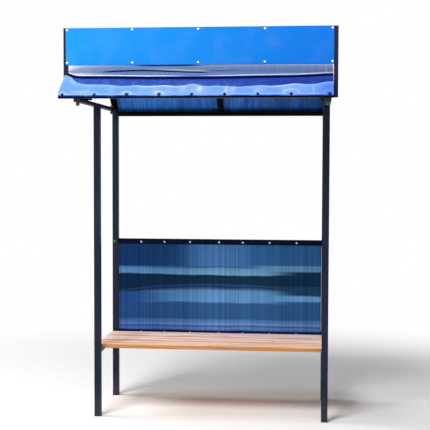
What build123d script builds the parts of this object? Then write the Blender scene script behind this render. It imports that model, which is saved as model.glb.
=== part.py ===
import math
import os

from build123d import *

os.makedirs("parts", exist_ok=True)

# A roadside bus shelter: an open frame of square and flat steel tube with an
# arched roof of blue cellular sheet, a glossy blue apron over its front, a
# sign board on its own small frame, a blue back panel and a board seat.
# All sizes are in millimetres. X runs to the right, Y to the back, Z up.
# Depths named _y are measured from the front face of the front posts.

# Posts, on a bay that stands a little to the right of the roof above it.
bay_w = 1460.0
bay_d = 627.0
bay_shift = 30.0
post_size = 40.0
post_h = 1942.0
tube_wall = 2.0
tube_corner = 3.0

# Flat tube, 40 x 20, for the rails, the ribs and the bars.
flat_w = 40.0
flat_h = 20.0
flat_corner = 2.0

# Side rails lie flat on the posts and reach out in front of them.
rail_back_inset = 20.0
rail_front_lap = 8.0

# Front beam, across the front ends of the side rails.
beam_left_inset = 9.5
beam_right_gap = 2.5
beam_h = 28.0

# Rear beam, between the heads of the rear posts.
rear_beam_h = 30.0

# Arched roof: the ribs' outer span and rise over the side rails.
arch_span = 1140.0
arch_rise = 234.0
arch_back_lap = 3.0
rib_mid_shift = 9.0
sheet_t = 4.0
skin_gap = 0.3

# Apron of thick film over the front of the roof.
cover_t = 2.0
cover_hem = 17.0
cover_back_reach = 50.0
cover_fold_setback = 178.0
cover_fold_h = 5.0
cover_fold_w = 30.0
cover_side_gap = 2.0

# Sign board and its frame of 25 mm tube, which stands on packers on the side
# rails. The packers reach a little inwards of the rails.
sign_frame_w = 1600.0
sign_tube = 25.0
sign_wall = 1.5
sign_corner = 1.5
sign_setback = 172.0
sign_top_z = 2381.0
packer_h = 12.0
packer_reach = 25.0
board_h = 215.0
board_t = 3.0
board_left_inset = 15.0

# Back panel between the rear posts and the two bars behind it.
panel_t = 6.0
panel_side_gap = 1.0
panel_top_z = 1080.0
panel_foot_z = 422.0
bar_h = 40.0

# Seat: three boards on two side rails.
seat_top_z = 447.0
board_thick = 22.0
seat_board_w = 172.0
seat_board_gap = 2.5
seat_front_y = 58.0
seat_edge_r = 2.5

# Fasteners.
washer_r = 7.0
washer_t = 1.2
washer_sides = 16
head_r = 4.2
head_h = 3.0
sign_cap_r = 7.0
sign_cap_h = 4.0
nut_r = 10.0
nut_h = 6.0
cap_r = 11.0
cap_skirt_h = 8.0
cap_shoulder_h = 6.0
cap_shoulder_taper = 30.0
cap_crown_h = 3.0
cap_crown_taper = 58.0
cap_sides = 20
bar_cap_r = 13.0
bolt_rear_reach = 112.0
plug_t = 3.0
seat_head_r = 6.0
seat_head_h = 2.0
cover_screw_n = 9
cover_screw_step = 0.119
cover_screw_left_inset = 25.0
cover_screw_right_inset = 22.0
cover_screw_drop = 8.0
sign_screw_n = 5
sign_screw_inset = 8.0
panel_screw_inset = 162.0
panel_screw_slips = (-5.0, -22.0, -22.0, 0.0, -15.0, -10.0, -5.0)
roof_screw_turns = (-11.0, -21.0, -31.0, -41.0)
cover_back_screw_inset = 14.0

# Places worked out from the sizes above.
rail_top = post_h + flat_h
beam_top = rail_top + beam_h
arch_r = ((arch_span / 2) ** 2 + arch_rise ** 2) / (2 * arch_rise)
arch_z = rail_top + arch_rise - arch_r
arch_mid_y = bay_d - rail_back_inset + arch_back_lap - arch_span / 2
rail_front_y = arch_mid_y - arch_span / 2 + rail_front_lap
sheet_r = arch_r + skin_gap
cover_r = sheet_r + sheet_t + skin_gap
sheet_foot_z = post_h + skin_gap
sheet_back_y = arch_mid_y + math.sqrt((sheet_r + sheet_t) ** 2 - (sheet_foot_z - arch_z) ** 2)
front_most_y = rail_front_y - cover_t - washer_t - head_h
mid_y = (front_most_y + sheet_back_y) / 2
front_y = rail_front_y - mid_y
arch_y = arch_mid_y - mid_y
post_left_x = bay_shift - bay_w / 2 + post_size / 2
post_right_x = bay_shift + bay_w / 2 - post_size / 2
post_front_y = post_size / 2 - mid_y
post_rear_y = bay_d - post_size / 2 - mid_y
bay_in_left = post_left_x + post_size / 2
bay_in_right = post_right_x - post_size / 2
bay_in_w = bay_in_right - bay_in_left
rail_y1 = bay_d - rail_back_inset - mid_y
rail_len = rail_y1 - front_y
beam_mid_y = front_y + flat_w / 2
beam_x0 = beam_left_inset - sign_frame_w / 2
beam_x1 = sign_frame_w / 2 - sign_tube - beam_right_gap
beam_w = beam_x1 - beam_x0
rib_mid_x = bay_shift + rib_mid_shift
rib_x = (post_left_x, rib_mid_x, post_right_x)
sign_y = front_y + sign_setback
sign_mid_y = sign_y + sign_tube / 2
sign_post_x = sign_frame_w / 2 - sign_tube / 2
sign_foot_z = rail_top + packer_h
sign_in_w = sign_frame_w - 2 * sign_tube
sign_low_z = sign_top_z - board_h + sign_tube / 2
sign_high_z = sign_top_z - sign_tube / 2
board_x0 = board_left_inset - sign_frame_w / 2
board_x1 = sign_frame_w / 2 - sign_tube
board_w = board_x1 - board_x0
board_mid_x = (board_x0 + board_x1) / 2
bar_y = bay_d - flat_h / 2 - mid_y
panel_y = bay_d - flat_h - mid_y
panel_w = bay_in_w - 2 * panel_side_gap
panel_h = panel_top_z - panel_foot_z
seat_y = seat_front_y - mid_y
seat_under_z = seat_top_z - board_thick
seat_pitch = seat_board_w + seat_board_gap
far = 3000.0

# Corner where the apron bends down over the beam, and the place where it
# leaves the arch in a straight line to that corner.
corner_y = front_y
corner_z = beam_top
corner_reach = math.hypot(corner_y - arch_y, corner_z - arch_z)
corner_turn = math.degrees(math.atan2(arch_y - corner_y, corner_z - arch_z))


def on_arch(radius: float, turn: float) -> tuple[float, float]:
    """Point of the roof's arch in its YZ plane, turned forward from the crown in degrees."""
    swing = math.radians(turn)
    return (arch_y - radius * math.sin(swing), arch_z + radius * math.cos(swing))


def leave_turn(radius: float, reach: float, turn: float) -> float:
    """Angle at which a straight line to a point at that reach and turn leaves the arch."""
    return turn - math.degrees(math.acos(radius / reach))


# Posts

with BuildPart() as post_front_left:
    with BuildSketch(Plane.XY):
        with Locations((post_left_x, post_front_y)):
            RectangleRounded(post_size, post_size, tube_corner)
            Rectangle(post_size - 2 * tube_wall, post_size - 2 * tube_wall, mode=Mode.SUBTRACT)
    extrude(amount=post_h)

with BuildPart() as post_front_right:
    with BuildSketch(Plane.XY):
        with Locations((post_right_x, post_front_y)):
            RectangleRounded(post_size, post_size, tube_corner)
            Rectangle(post_size - 2 * tube_wall, post_size - 2 * tube_wall, mode=Mode.SUBTRACT)
    extrude(amount=post_h)

with BuildPart() as post_rear_left:
    with BuildSketch(Plane.XY):
        with Locations((post_left_x, post_rear_y)):
            RectangleRounded(post_size, post_size, tube_corner)
            Rectangle(post_size - 2 * tube_wall, post_size - 2 * tube_wall, mode=Mode.SUBTRACT)
    extrude(amount=post_h)

with BuildPart() as post_rear_right:
    with BuildSketch(Plane.XY):
        with Locations((post_right_x, post_rear_y)):
            RectangleRounded(post_size, post_size, tube_corner)
            Rectangle(post_size - 2 * tube_wall, post_size - 2 * tube_wall, mode=Mode.SUBTRACT)
    extrude(amount=post_h)

# Side rails and the beams between them

rail_start = Plane.XZ.offset(-front_y)

with BuildPart() as side_rail_left:
    with BuildSketch(rail_start):
        with Locations((post_left_x, post_h + flat_h / 2)):
            RectangleRounded(flat_w, flat_h, flat_corner)
            Rectangle(flat_w - 2 * tube_wall, flat_h - 2 * tube_wall, mode=Mode.SUBTRACT)
    extrude(amount=-rail_len)

with BuildPart() as side_rail_right:
    with BuildSketch(rail_start):
        with Locations((post_right_x, post_h + flat_h / 2)):
            RectangleRounded(flat_w, flat_h, flat_corner)
            Rectangle(flat_w - 2 * tube_wall, flat_h - 2 * tube_wall, mode=Mode.SUBTRACT)
    extrude(amount=-rail_len)

with BuildPart() as front_beam:
    with BuildSketch(Plane.YZ.offset(beam_x0)):
        with Locations((beam_mid_y, rail_top + beam_h / 2)):
            RectangleRounded(flat_w, beam_h, flat_corner)
            Rectangle(flat_w - 2 * tube_wall, beam_h - 2 * tube_wall, mode=Mode.SUBTRACT)
    extrude(amount=beam_w)

with BuildPart() as rear_beam:
    with BuildSketch(Plane.YZ.offset(bay_in_left)):
        with Locations((post_rear_y, post_h - rear_beam_h / 2)):
            RectangleRounded(post_size, rear_beam_h, flat_corner)
            Rectangle(post_size - 2 * tube_wall, rear_beam_h - 2 * tube_wall, mode=Mode.SUBTRACT)
    extrude(amount=bay_in_w)

# Arched ribs of flat tube, mitred level on the beam in front and on the rail
# or the rear beam behind

with BuildPart() as rib_left:
    with BuildSketch(Plane.YZ.offset(post_left_x)):
        with Locations((arch_y, arch_z)):
            Circle(arch_r)
            Circle(arch_r - flat_h, mode=Mode.SUBTRACT)
    extrude(amount=flat_w / 2, both=True)
    with BuildSketch(Plane.YZ.offset(post_left_x)):
        with Locations((arch_y, arch_z)):
            Circle(arch_r - tube_wall)
            Circle(arch_r - flat_h + tube_wall, mode=Mode.SUBTRACT)
    extrude(amount=flat_w / 2 - tube_wall, both=True, mode=Mode.SUBTRACT)
    with BuildSketch(Plane.YZ.offset(post_left_x)):
        with BuildLine():
            Polyline(
                (front_y, beam_top),
                (arch_y, beam_top),
                (arch_y, rail_top),
                (rail_y1, rail_top),
                (rail_y1, far),
                (front_y, far),
                close=True,
            )
        make_face()
    extrude(amount=flat_w, both=True, mode=Mode.INTERSECT)

with BuildPart() as rib_right:
    with BuildSketch(Plane.YZ.offset(post_right_x)):
        with Locations((arch_y, arch_z)):
            Circle(arch_r)
            Circle(arch_r - flat_h, mode=Mode.SUBTRACT)
    extrude(amount=flat_w / 2, both=True)
    with BuildSketch(Plane.YZ.offset(post_right_x)):
        with Locations((arch_y, arch_z)):
            Circle(arch_r - tube_wall)
            Circle(arch_r - flat_h + tube_wall, mode=Mode.SUBTRACT)
    extrude(amount=flat_w / 2 - tube_wall, both=True, mode=Mode.SUBTRACT)
    with BuildSketch(Plane.YZ.offset(post_right_x)):
        with BuildLine():
            Polyline(
                (front_y, beam_top),
                (arch_y, beam_top),
                (arch_y, rail_top),
                (rail_y1, rail_top),
                (rail_y1, far),
                (front_y, far),
                close=True,
            )
        make_face()
    extrude(amount=flat_w, both=True, mode=Mode.INTERSECT)

with BuildPart() as rib_middle:
    with BuildSketch(Plane.YZ.offset(rib_mid_x)):
        with Locations((arch_y, arch_z)):
            Circle(arch_r)
            Circle(arch_r - flat_h, mode=Mode.SUBTRACT)
    extrude(amount=flat_w / 2, both=True)
    with BuildSketch(Plane.YZ.offset(rib_mid_x)):
        with Locations((arch_y, arch_z)):
            Circle(arch_r - tube_wall)
            Circle(arch_r - flat_h + tube_wall, mode=Mode.SUBTRACT)
    extrude(amount=flat_w / 2 - tube_wall, both=True, mode=Mode.SUBTRACT)
    with BuildSketch(Plane.YZ.offset(rib_mid_x)):
        with BuildLine():
            Polyline(
                (front_y, beam_top),
                (arch_y, beam_top),
                (arch_y, post_h),
                (bay_d - mid_y, post_h),
                (bay_d - mid_y, far),
                (front_y, far),
                close=True,
            )
        make_face()
    extrude(amount=flat_w, both=True, mode=Mode.INTERSECT)

# Roof sheet, laid over the ribs from the front beam to the rear beam

with BuildPart() as roof_sheet:
    with BuildSketch(Plane.YZ.offset(bay_shift - bay_w / 2)):
        with Locations((arch_y, arch_z)):
            Circle(sheet_r + sheet_t)
            Circle(sheet_r, mode=Mode.SUBTRACT)
        with BuildLine():
            Polyline(
                (-far, beam_top + skin_gap),
                (arch_y, beam_top + skin_gap),
                (arch_y, sheet_foot_z),
                (far, sheet_foot_z),
                (far, far),
                (-far, far),
                close=True,
            )
        make_face(mode=Mode.INTERSECT)
    extrude(amount=bay_w)

# Apron: it follows the arch, rises to a fold behind the sign, runs straight
# from the arch to the beam's upper edge and bends down to its hem. A notch in
# its left edge lets the sign's upright through

in_r = cover_r
out_r = cover_r + cover_t
in_leave = leave_turn(in_r, corner_reach, corner_turn)
out_reach = math.hypot(corner_y - cover_t - arch_y, corner_z + cover_t - arch_z)
out_turn = math.degrees(math.atan2(arch_y - corner_y + cover_t, corner_z + cover_t - arch_z))
out_leave = leave_turn(out_r, out_reach, out_turn)
back_turn = -math.degrees(cover_back_reach / cover_r)
fold_turn = math.degrees(math.asin((arch_y - front_y - cover_fold_setback) / cover_r))
fold_half = math.degrees(cover_fold_w / 2 / cover_r)

with BuildPart() as front_cover:
    with BuildSketch(Plane.YZ.offset(beam_x0)):
        with BuildLine():
            Polyline(
                on_arch(in_r, in_leave),
                (corner_y, corner_z),
                (corner_y, corner_z - cover_hem),
                (corner_y - cover_t, corner_z - cover_hem),
                (corner_y - cover_t, corner_z + cover_t),
                on_arch(out_r, out_leave),
            )
            RadiusArc(on_arch(out_r, out_leave), on_arch(out_r, fold_turn + fold_half), out_r)
            Polyline(
                on_arch(out_r, fold_turn + fold_half),
                on_arch(out_r + cover_fold_h, fold_turn),
                on_arch(out_r, fold_turn - fold_half),
            )
            RadiusArc(on_arch(out_r, fold_turn - fold_half), on_arch(out_r, back_turn), out_r)
            Line(on_arch(out_r, back_turn), on_arch(in_r, back_turn))
            RadiusArc(on_arch(in_r, back_turn), on_arch(in_r, fold_turn - fold_half), -in_r)
            Polyline(
                on_arch(in_r, fold_turn - fold_half),
                on_arch(in_r + cover_fold_h, fold_turn),
                on_arch(in_r, fold_turn + fold_half),
            )
            RadiusArc(on_arch(in_r, fold_turn + fold_half), on_arch(in_r, in_leave), -in_r)
        make_face()
    extrude(amount=beam_w)
    with BuildSketch(Plane.XY.offset(rail_top)):
        with Locations((-sign_post_x, sign_mid_y)):
            Rectangle(sign_tube + 2 * cover_side_gap, sign_tube + 2 * board_t)
    extrude(amount=far, mode=Mode.SUBTRACT)

# Sign frame, the packers under its crossbar, and its board

with BuildPart() as sign_packers:
    with BuildSketch(Plane.XY.offset(rail_top)):
        with Locations(
            (post_left_x + packer_reach / 2, sign_mid_y),
            (post_right_x - packer_reach / 2, sign_mid_y),
        ):
            Rectangle(flat_w + packer_reach, sign_tube)
    extrude(amount=packer_h)

with BuildPart() as sign_upright_left:
    with BuildSketch(Plane.XY.offset(sign_foot_z)):
        with Locations((-sign_post_x, sign_mid_y)):
            RectangleRounded(sign_tube, sign_tube, sign_corner)
            Rectangle(sign_tube - 2 * sign_wall, sign_tube - 2 * sign_wall, mode=Mode.SUBTRACT)
    extrude(amount=sign_top_z - sign_foot_z)

with BuildPart() as sign_upright_right:
    with BuildSketch(Plane.XY.offset(sign_foot_z)):
        with Locations((sign_post_x, sign_mid_y)):
            RectangleRounded(sign_tube, sign_tube, sign_corner)
            Rectangle(sign_tube - 2 * sign_wall, sign_tube - 2 * sign_wall, mode=Mode.SUBTRACT)
    extrude(amount=sign_top_z - sign_foot_z)

with BuildPart() as sign_crossbar:
    with BuildSketch(Plane.YZ.offset(-sign_in_w / 2)):
        with Locations((sign_mid_y, sign_foot_z + sign_tube / 2)):
            RectangleRounded(sign_tube, sign_tube, sign_corner)
            Rectangle(sign_tube - 2 * sign_wall, sign_tube - 2 * sign_wall, mode=Mode.SUBTRACT)
    extrude(amount=sign_in_w)

with BuildPart() as sign_bottom_bar:
    with BuildSketch(Plane.YZ.offset(-sign_in_w / 2)):
        with Locations((sign_mid_y, sign_low_z)):
            RectangleRounded(sign_tube, sign_tube, sign_corner)
            Rectangle(sign_tube - 2 * sign_wall, sign_tube - 2 * sign_wall, mode=Mode.SUBTRACT)
    extrude(amount=sign_in_w)

with BuildPart() as sign_top_bar:
    with BuildSketch(Plane.YZ.offset(-sign_in_w / 2)):
        with Locations((sign_mid_y, sign_high_z)):
            RectangleRounded(sign_tube, sign_tube, sign_corner)
            Rectangle(sign_tube - 2 * sign_wall, sign_tube - 2 * sign_wall, mode=Mode.SUBTRACT)
    extrude(amount=sign_in_w)

with BuildPart() as sign_board:
    with BuildSketch(Plane.XZ.offset(-sign_y)):
        with Locations((board_mid_x, sign_top_z - board_h / 2)):
            RectangleRounded(board_w, board_h, sign_corner)
    extrude(amount=board_t)

# Back panel on the front of its two bars

with BuildPart() as panel_top_bar:
    with BuildSketch(Plane.YZ.offset(bay_in_left)):
        with Locations((bar_y, panel_top_z - bar_h / 2)):
            RectangleRounded(flat_h, bar_h, flat_corner)
            Rectangle(flat_h - 2 * tube_wall, bar_h - 2 * tube_wall, mode=Mode.SUBTRACT)
    extrude(amount=bay_in_w)

with BuildPart() as panel_bottom_bar:
    with BuildSketch(Plane.YZ.offset(bay_in_left)):
        with Locations((bar_y, panel_foot_z + bar_h / 2)):
            RectangleRounded(flat_h, bar_h, flat_corner)
            Rectangle(flat_h - 2 * tube_wall, bar_h - 2 * tube_wall, mode=Mode.SUBTRACT)
    extrude(amount=bay_in_w)

with BuildPart() as back_panel:
    with BuildSketch(Plane.XZ.offset(-panel_y)):
        with Locations((bay_shift, panel_foot_z + panel_h / 2)):
            Rectangle(panel_w, panel_h)
    extrude(amount=panel_t)

# Seat

with BuildPart() as seat_rail_left:
    with BuildSketch(Plane.XZ.offset(-(post_front_y + post_size / 2))):
        with Locations((post_left_x, seat_under_z - flat_h / 2)):
            RectangleRounded(flat_w, flat_h, flat_corner)
            Rectangle(flat_w - 2 * tube_wall, flat_h - 2 * tube_wall, mode=Mode.SUBTRACT)
    extrude(amount=-(bay_d - 2 * post_size))

with BuildPart() as seat_rail_right:
    with BuildSketch(Plane.XZ.offset(-(post_front_y + post_size / 2))):
        with Locations((post_right_x, seat_under_z - flat_h / 2)):
            RectangleRounded(flat_w, flat_h, flat_corner)
            Rectangle(flat_w - 2 * tube_wall, flat_h - 2 * tube_wall, mode=Mode.SUBTRACT)
    extrude(amount=-(bay_d - 2 * post_size))

with BuildPart() as seat_board_front:
    with BuildSketch(Plane.YZ.offset(bay_shift - bay_w / 2)):
        with Locations((seat_y + seat_board_w / 2, seat_under_z + board_thick / 2)):
            RectangleRounded(seat_board_w, board_thick, seat_edge_r)
    extrude(amount=bay_w)

with BuildPart() as seat_board_middle:
    with BuildSketch(Plane.YZ.offset(bay_shift - bay_w / 2)):
        with Locations((seat_y + seat_pitch + seat_board_w / 2, seat_under_z + board_thick / 2)):
            RectangleRounded(seat_board_w, board_thick, seat_edge_r)
    extrude(amount=bay_w)

with BuildPart() as seat_board_rear:
    with BuildSketch(Plane.YZ.offset(bay_shift - bay_w / 2)):
        with Locations((seat_y + 2 * seat_pitch + seat_board_w / 2, seat_under_z + board_thick / 2)):
            RectangleRounded(seat_board_w, board_thick, seat_edge_r)
    extrude(amount=bay_w)

# Screws of the apron, the roof sheet, the sign, the panel and the seat

# The apron's screws keep an even step from the left, and the last one stands
# at the right end

cover_screw_first_x = beam_x0 + cover_screw_left_inset
cover_screw_xs = [cover_screw_first_x + k * cover_screw_step * beam_w for k in range(cover_screw_n - 1)]
cover_screw_xs.append(beam_x1 - cover_screw_right_inset)
cover_screw_places = [(x, beam_top - cover_screw_drop) for x in cover_screw_xs]

with BuildPart() as cover_screws:
    with BuildSketch(Plane.XZ.offset(-(front_y - cover_t))):
        with Locations(*cover_screw_places):
            RegularPolygon(washer_r, washer_sides)
    extrude(amount=washer_t)
    with BuildSketch(Plane.XZ.offset(-(front_y - cover_t - washer_t))):
        with Locations(*cover_screw_places):
            RegularPolygon(head_r, 6)
    extrude(amount=head_h)


def roof_plane(place_x: float, radius: float, turn: float) -> Plane:
    """Plane that lies on the arch at that radius and turn, facing away from its centre."""
    place_y, place_z = on_arch(radius, turn)
    swing = math.radians(turn)
    return Plane(
        origin=(place_x, place_y, place_z),
        x_dir=(1, 0, 0),
        z_dir=(0, -math.sin(swing), math.cos(swing)),
    )


sheet_seat_r = sheet_r + sheet_t + skin_gap
cover_seat_r = out_r + skin_gap
cover_back_turn = back_turn + math.degrees(cover_back_screw_inset / out_r)
roof_seats = [(sheet_seat_r, turn) for turn in roof_screw_turns] + [(cover_seat_r, cover_back_turn)]
washer_planes = [roof_plane(x, radius, turn) for x in rib_x for radius, turn in roof_seats]
head_planes = [roof_plane(x, radius + washer_t, turn) for x in rib_x for radius, turn in roof_seats]

with BuildPart() as roof_screws:
    with BuildSketch(*washer_planes):
        RegularPolygon(washer_r, washer_sides)
    extrude(amount=washer_t)
    with BuildSketch(*head_planes):
        RegularPolygon(head_r, 6)
    extrude(amount=head_h)

sign_screw_pitch = (board_w - 2 * sign_screw_inset) / (sign_screw_n - 1)

with BuildPart() as sign_screws:
    with BuildSketch(Plane.XZ.offset(-(sign_y - board_t))):
        with Locations((board_mid_x, (sign_low_z + sign_high_z) / 2)):
            with GridLocations(sign_screw_pitch, sign_high_z - sign_low_z, sign_screw_n, 2):
                RegularPolygon(sign_cap_r, washer_sides)
    extrude(amount=sign_cap_h, taper=25)

# The panel's screws were set by hand, each a little off its even place

panel_screw_gaps = len(panel_screw_slips) - 1
panel_screw_pitch = (bay_in_w - 2 * panel_screw_inset) / panel_screw_gaps
panel_screw_first_x = bay_in_left + panel_screw_inset
panel_screw_xs = [
    panel_screw_first_x + k * panel_screw_pitch + slip for k, slip in enumerate(panel_screw_slips)
]
panel_screw_zs = (panel_foot_z + bar_h / 2, panel_top_z - bar_h / 2)
panel_screw_places = [(x, z) for z in panel_screw_zs for x in panel_screw_xs]

with BuildPart() as panel_screws:
    with BuildSketch(Plane.XZ.offset(-(panel_y - panel_t))):
        with Locations(*panel_screw_places):
            RegularPolygon(washer_r, washer_sides)
    extrude(amount=washer_t)
    with BuildSketch(Plane.XZ.offset(-(panel_y - panel_t - washer_t))):
        with Locations(*panel_screw_places):
            RegularPolygon(head_r, 6)
    extrude(amount=head_h)

with BuildPart() as seat_screws:
    with BuildSketch(Plane.XY.offset(seat_top_z)):
        with Locations((bay_shift, seat_y + seat_pitch + seat_board_w / 2)):
            with GridLocations(bay_w - post_size, seat_pitch, 2, 3):
                with GridLocations(1, seat_board_w / 2, 1, 2):
                    RegularPolygon(seat_head_r, washer_sides)
    extrude(amount=seat_head_h, taper=30)

# Domed caps of the bolts that hold the roof to its rails, and of the two
# that hold the panel's top bar to the rear posts

bolt_front_y = front_y + flat_w / 2
bolt_rear_y = post_rear_y - post_size / 2 - bolt_rear_reach
cap_shoulder_r = cap_r - cap_shoulder_h * math.tan(math.radians(cap_shoulder_taper))
cap_skirt_z = post_h - nut_h
cap_shoulder_z = cap_skirt_z - cap_skirt_h
cap_crown_z = cap_shoulder_z - cap_shoulder_h
rear_bolt_places = ((post_left_x, bolt_rear_y), (post_right_x, bolt_rear_y))
rail_bolt_places = ((post_left_x, bolt_front_y), (post_right_x, bolt_front_y)) + rear_bolt_places

with BuildPart() as rail_bolts:
    with BuildSketch(Plane.XY.offset(post_h)):
        with Locations(*rail_bolt_places):
            RegularPolygon(nut_r, 6)
    extrude(amount=-nut_h)
    with BuildSketch(Plane.XY.offset(cap_skirt_z)):
        with Locations(*rail_bolt_places):
            RegularPolygon(cap_r, cap_sides, major_radius=False)
    extrude(amount=-cap_skirt_h)
    with BuildSketch(Plane.XY.offset(cap_shoulder_z)):
        with Locations(*rail_bolt_places):
            RegularPolygon(cap_r, cap_sides, major_radius=False)
    extrude(amount=-cap_shoulder_h, taper=cap_shoulder_taper)
    with BuildSketch(Plane.XY.offset(cap_crown_z)):
        with Locations(*rail_bolt_places):
            RegularPolygon(cap_shoulder_r, cap_sides, major_radius=False)
    extrude(amount=-cap_crown_h, taper=cap_crown_taper)
    with BuildSketch(Plane.XY.offset(rail_top)):
        with Locations(*rear_bolt_places):
            RegularPolygon(cap_r, cap_sides, major_radius=False)
    extrude(amount=cap_skirt_h)
    with BuildSketch(Plane.XY.offset(rail_top + cap_skirt_h)):
        with Locations(*rear_bolt_places):
            RegularPolygon(cap_r, cap_sides, major_radius=False)
    extrude(amount=cap_shoulder_h, taper=cap_shoulder_taper)
    with BuildSketch(Plane.XY.offset(rail_top + cap_skirt_h + cap_shoulder_h)):
        with Locations(*rear_bolt_places):
            RegularPolygon(cap_shoulder_r, cap_sides, major_radius=False)
    extrude(amount=cap_crown_h, taper=cap_crown_taper)

post_face_y = post_rear_y - post_size / 2
bar_shoulder_r = bar_cap_r - cap_shoulder_h * math.tan(math.radians(cap_shoulder_taper))

with BuildPart() as bar_bolts:
    with BuildSketch(Plane.XZ.offset(-post_face_y)):
        with Locations((bay_shift, panel_top_z - bar_h / 2)):
            with GridLocations(bay_w - post_size, 1, 2, 1):
                RegularPolygon(bar_cap_r, cap_sides, major_radius=False)
    extrude(amount=cap_skirt_h)
    with BuildSketch(Plane.XZ.offset(-(post_face_y - cap_skirt_h))):
        with Locations((bay_shift, panel_top_z - bar_h / 2)):
            with GridLocations(bay_w - post_size, 1, 2, 1):
                RegularPolygon(bar_cap_r, cap_sides, major_radius=False)
    extrude(amount=cap_shoulder_h, taper=cap_shoulder_taper)
    with BuildSketch(Plane.XZ.offset(-(post_face_y - cap_skirt_h - cap_shoulder_h))):
        with Locations((bay_shift, panel_top_z - bar_h / 2)):
            with GridLocations(bay_w - post_size, 1, 2, 1):
                RegularPolygon(bar_shoulder_r, cap_sides, major_radius=False)
    extrude(amount=cap_crown_h, taper=cap_crown_taper)

# Plugs in the open ends of the rails, the beam and the sign's uprights

with BuildPart() as rail_plugs:
    with BuildSketch(Plane.XZ.offset(-front_y)):
        with Locations((post_left_x, post_h + flat_h / 2), (post_right_x, post_h + flat_h / 2)):
            Rectangle(flat_w - 2 * tube_wall, flat_h - 2 * tube_wall)
    extrude(amount=-plug_t)

with BuildPart() as beam_plugs:
    with BuildSketch(Plane.YZ.offset(beam_x0)):
        with Locations((beam_mid_y, rail_top + beam_h / 2)):
            Rectangle(flat_w - 2 * tube_wall, beam_h - 2 * tube_wall)
    extrude(amount=plug_t)
    with BuildSketch(Plane.YZ.offset(beam_x1)):
        with Locations((beam_mid_y, rail_top + beam_h / 2)):
            Rectangle(flat_w - 2 * tube_wall, beam_h - 2 * tube_wall)
    extrude(amount=-plug_t)

with BuildPart() as upright_plugs:
    with BuildSketch(Plane.XY.offset(sign_top_z)):
        with Locations((-sign_post_x, sign_mid_y), (sign_post_x, sign_mid_y)):
            Rectangle(sign_tube - 2 * sign_wall, sign_tube - 2 * sign_wall)
    extrude(amount=-plug_t)

# Labels and files

post_front_left.part.label = "post_front_left"
post_front_right.part.label = "post_front_right"
post_rear_left.part.label = "post_rear_left"
post_rear_right.part.label = "post_rear_right"
side_rail_left.part.label = "side_rail_left"
side_rail_right.part.label = "side_rail_right"
front_beam.part.label = "front_beam"
rear_beam.part.label = "rear_beam"
rib_left.part.label = "rib_left"
rib_middle.part.label = "rib_middle"
rib_right.part.label = "rib_right"
roof_sheet.part.label = "roof_sheet"
front_cover.part.label = "front_cover"
sign_upright_left.part.label = "sign_upright_left"
sign_upright_right.part.label = "sign_upright_right"
sign_packers.part.label = "sign_packers"
sign_crossbar.part.label = "sign_crossbar"
sign_bottom_bar.part.label = "sign_bottom_bar"
sign_top_bar.part.label = "sign_top_bar"
sign_board.part.label = "sign_board"
panel_top_bar.part.label = "panel_top_bar"
panel_bottom_bar.part.label = "panel_bottom_bar"
back_panel.part.label = "back_panel"
seat_rail_left.part.label = "seat_rail_left"
seat_rail_right.part.label = "seat_rail_right"
seat_board_front.part.label = "seat_board_front"
seat_board_middle.part.label = "seat_board_middle"
seat_board_rear.part.label = "seat_board_rear"
cover_screws.part.label = "cover_screws"
roof_screws.part.label = "roof_screws"
sign_screws.part.label = "sign_screws"
panel_screws.part.label = "panel_screws"
seat_screws.part.label = "seat_screws"
rail_bolts.part.label = "rail_bolts"
bar_bolts.part.label = "bar_bolts"
rail_plugs.part.label = "rail_plugs"
beam_plugs.part.label = "beam_plugs"
upright_plugs.part.label = "upright_plugs"

export_step(post_front_left.part, "parts/post_front_left.step")
export_step(post_front_right.part, "parts/post_front_right.step")
export_step(post_rear_left.part, "parts/post_rear_left.step")
export_step(post_rear_right.part, "parts/post_rear_right.step")
export_step(side_rail_left.part, "parts/side_rail_left.step")
export_step(side_rail_right.part, "parts/side_rail_right.step")
export_step(front_beam.part, "parts/front_beam.step")
export_step(rear_beam.part, "parts/rear_beam.step")
export_step(rib_left.part, "parts/rib_left.step")
export_step(rib_middle.part, "parts/rib_middle.step")
export_step(rib_right.part, "parts/rib_right.step")
export_step(roof_sheet.part, "parts/roof_sheet.step")
export_step(front_cover.part, "parts/front_cover.step")
export_step(sign_upright_left.part, "parts/sign_upright_left.step")
export_step(sign_upright_right.part, "parts/sign_upright_right.step")
export_step(sign_packers.part, "parts/sign_packers.step")
export_step(sign_crossbar.part, "parts/sign_crossbar.step")
export_step(sign_bottom_bar.part, "parts/sign_bottom_bar.step")
export_step(sign_top_bar.part, "parts/sign_top_bar.step")
export_step(sign_board.part, "parts/sign_board.step")
export_step(panel_top_bar.part, "parts/panel_top_bar.step")
export_step(panel_bottom_bar.part, "parts/panel_bottom_bar.step")
export_step(back_panel.part, "parts/back_panel.step")
export_step(seat_rail_left.part, "parts/seat_rail_left.step")
export_step(seat_rail_right.part, "parts/seat_rail_right.step")
export_step(seat_board_front.part, "parts/seat_board_front.step")
export_step(seat_board_middle.part, "parts/seat_board_middle.step")
export_step(seat_board_rear.part, "parts/seat_board_rear.step")
export_step(cover_screws.part, "parts/cover_screws.step")
export_step(roof_screws.part, "parts/roof_screws.step")
export_step(sign_screws.part, "parts/sign_screws.step")
export_step(panel_screws.part, "parts/panel_screws.step")
export_step(seat_screws.part, "parts/seat_screws.step")
export_step(rail_bolts.part, "parts/rail_bolts.step")
export_step(bar_bolts.part, "parts/bar_bolts.step")
export_step(rail_plugs.part, "parts/rail_plugs.step")
export_step(beam_plugs.part, "parts/beam_plugs.step")
export_step(upright_plugs.part, "parts/upright_plugs.step")
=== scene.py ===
import logging
import math
from collections.abc import Callable
from dataclasses import dataclass
from functools import partial

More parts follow.
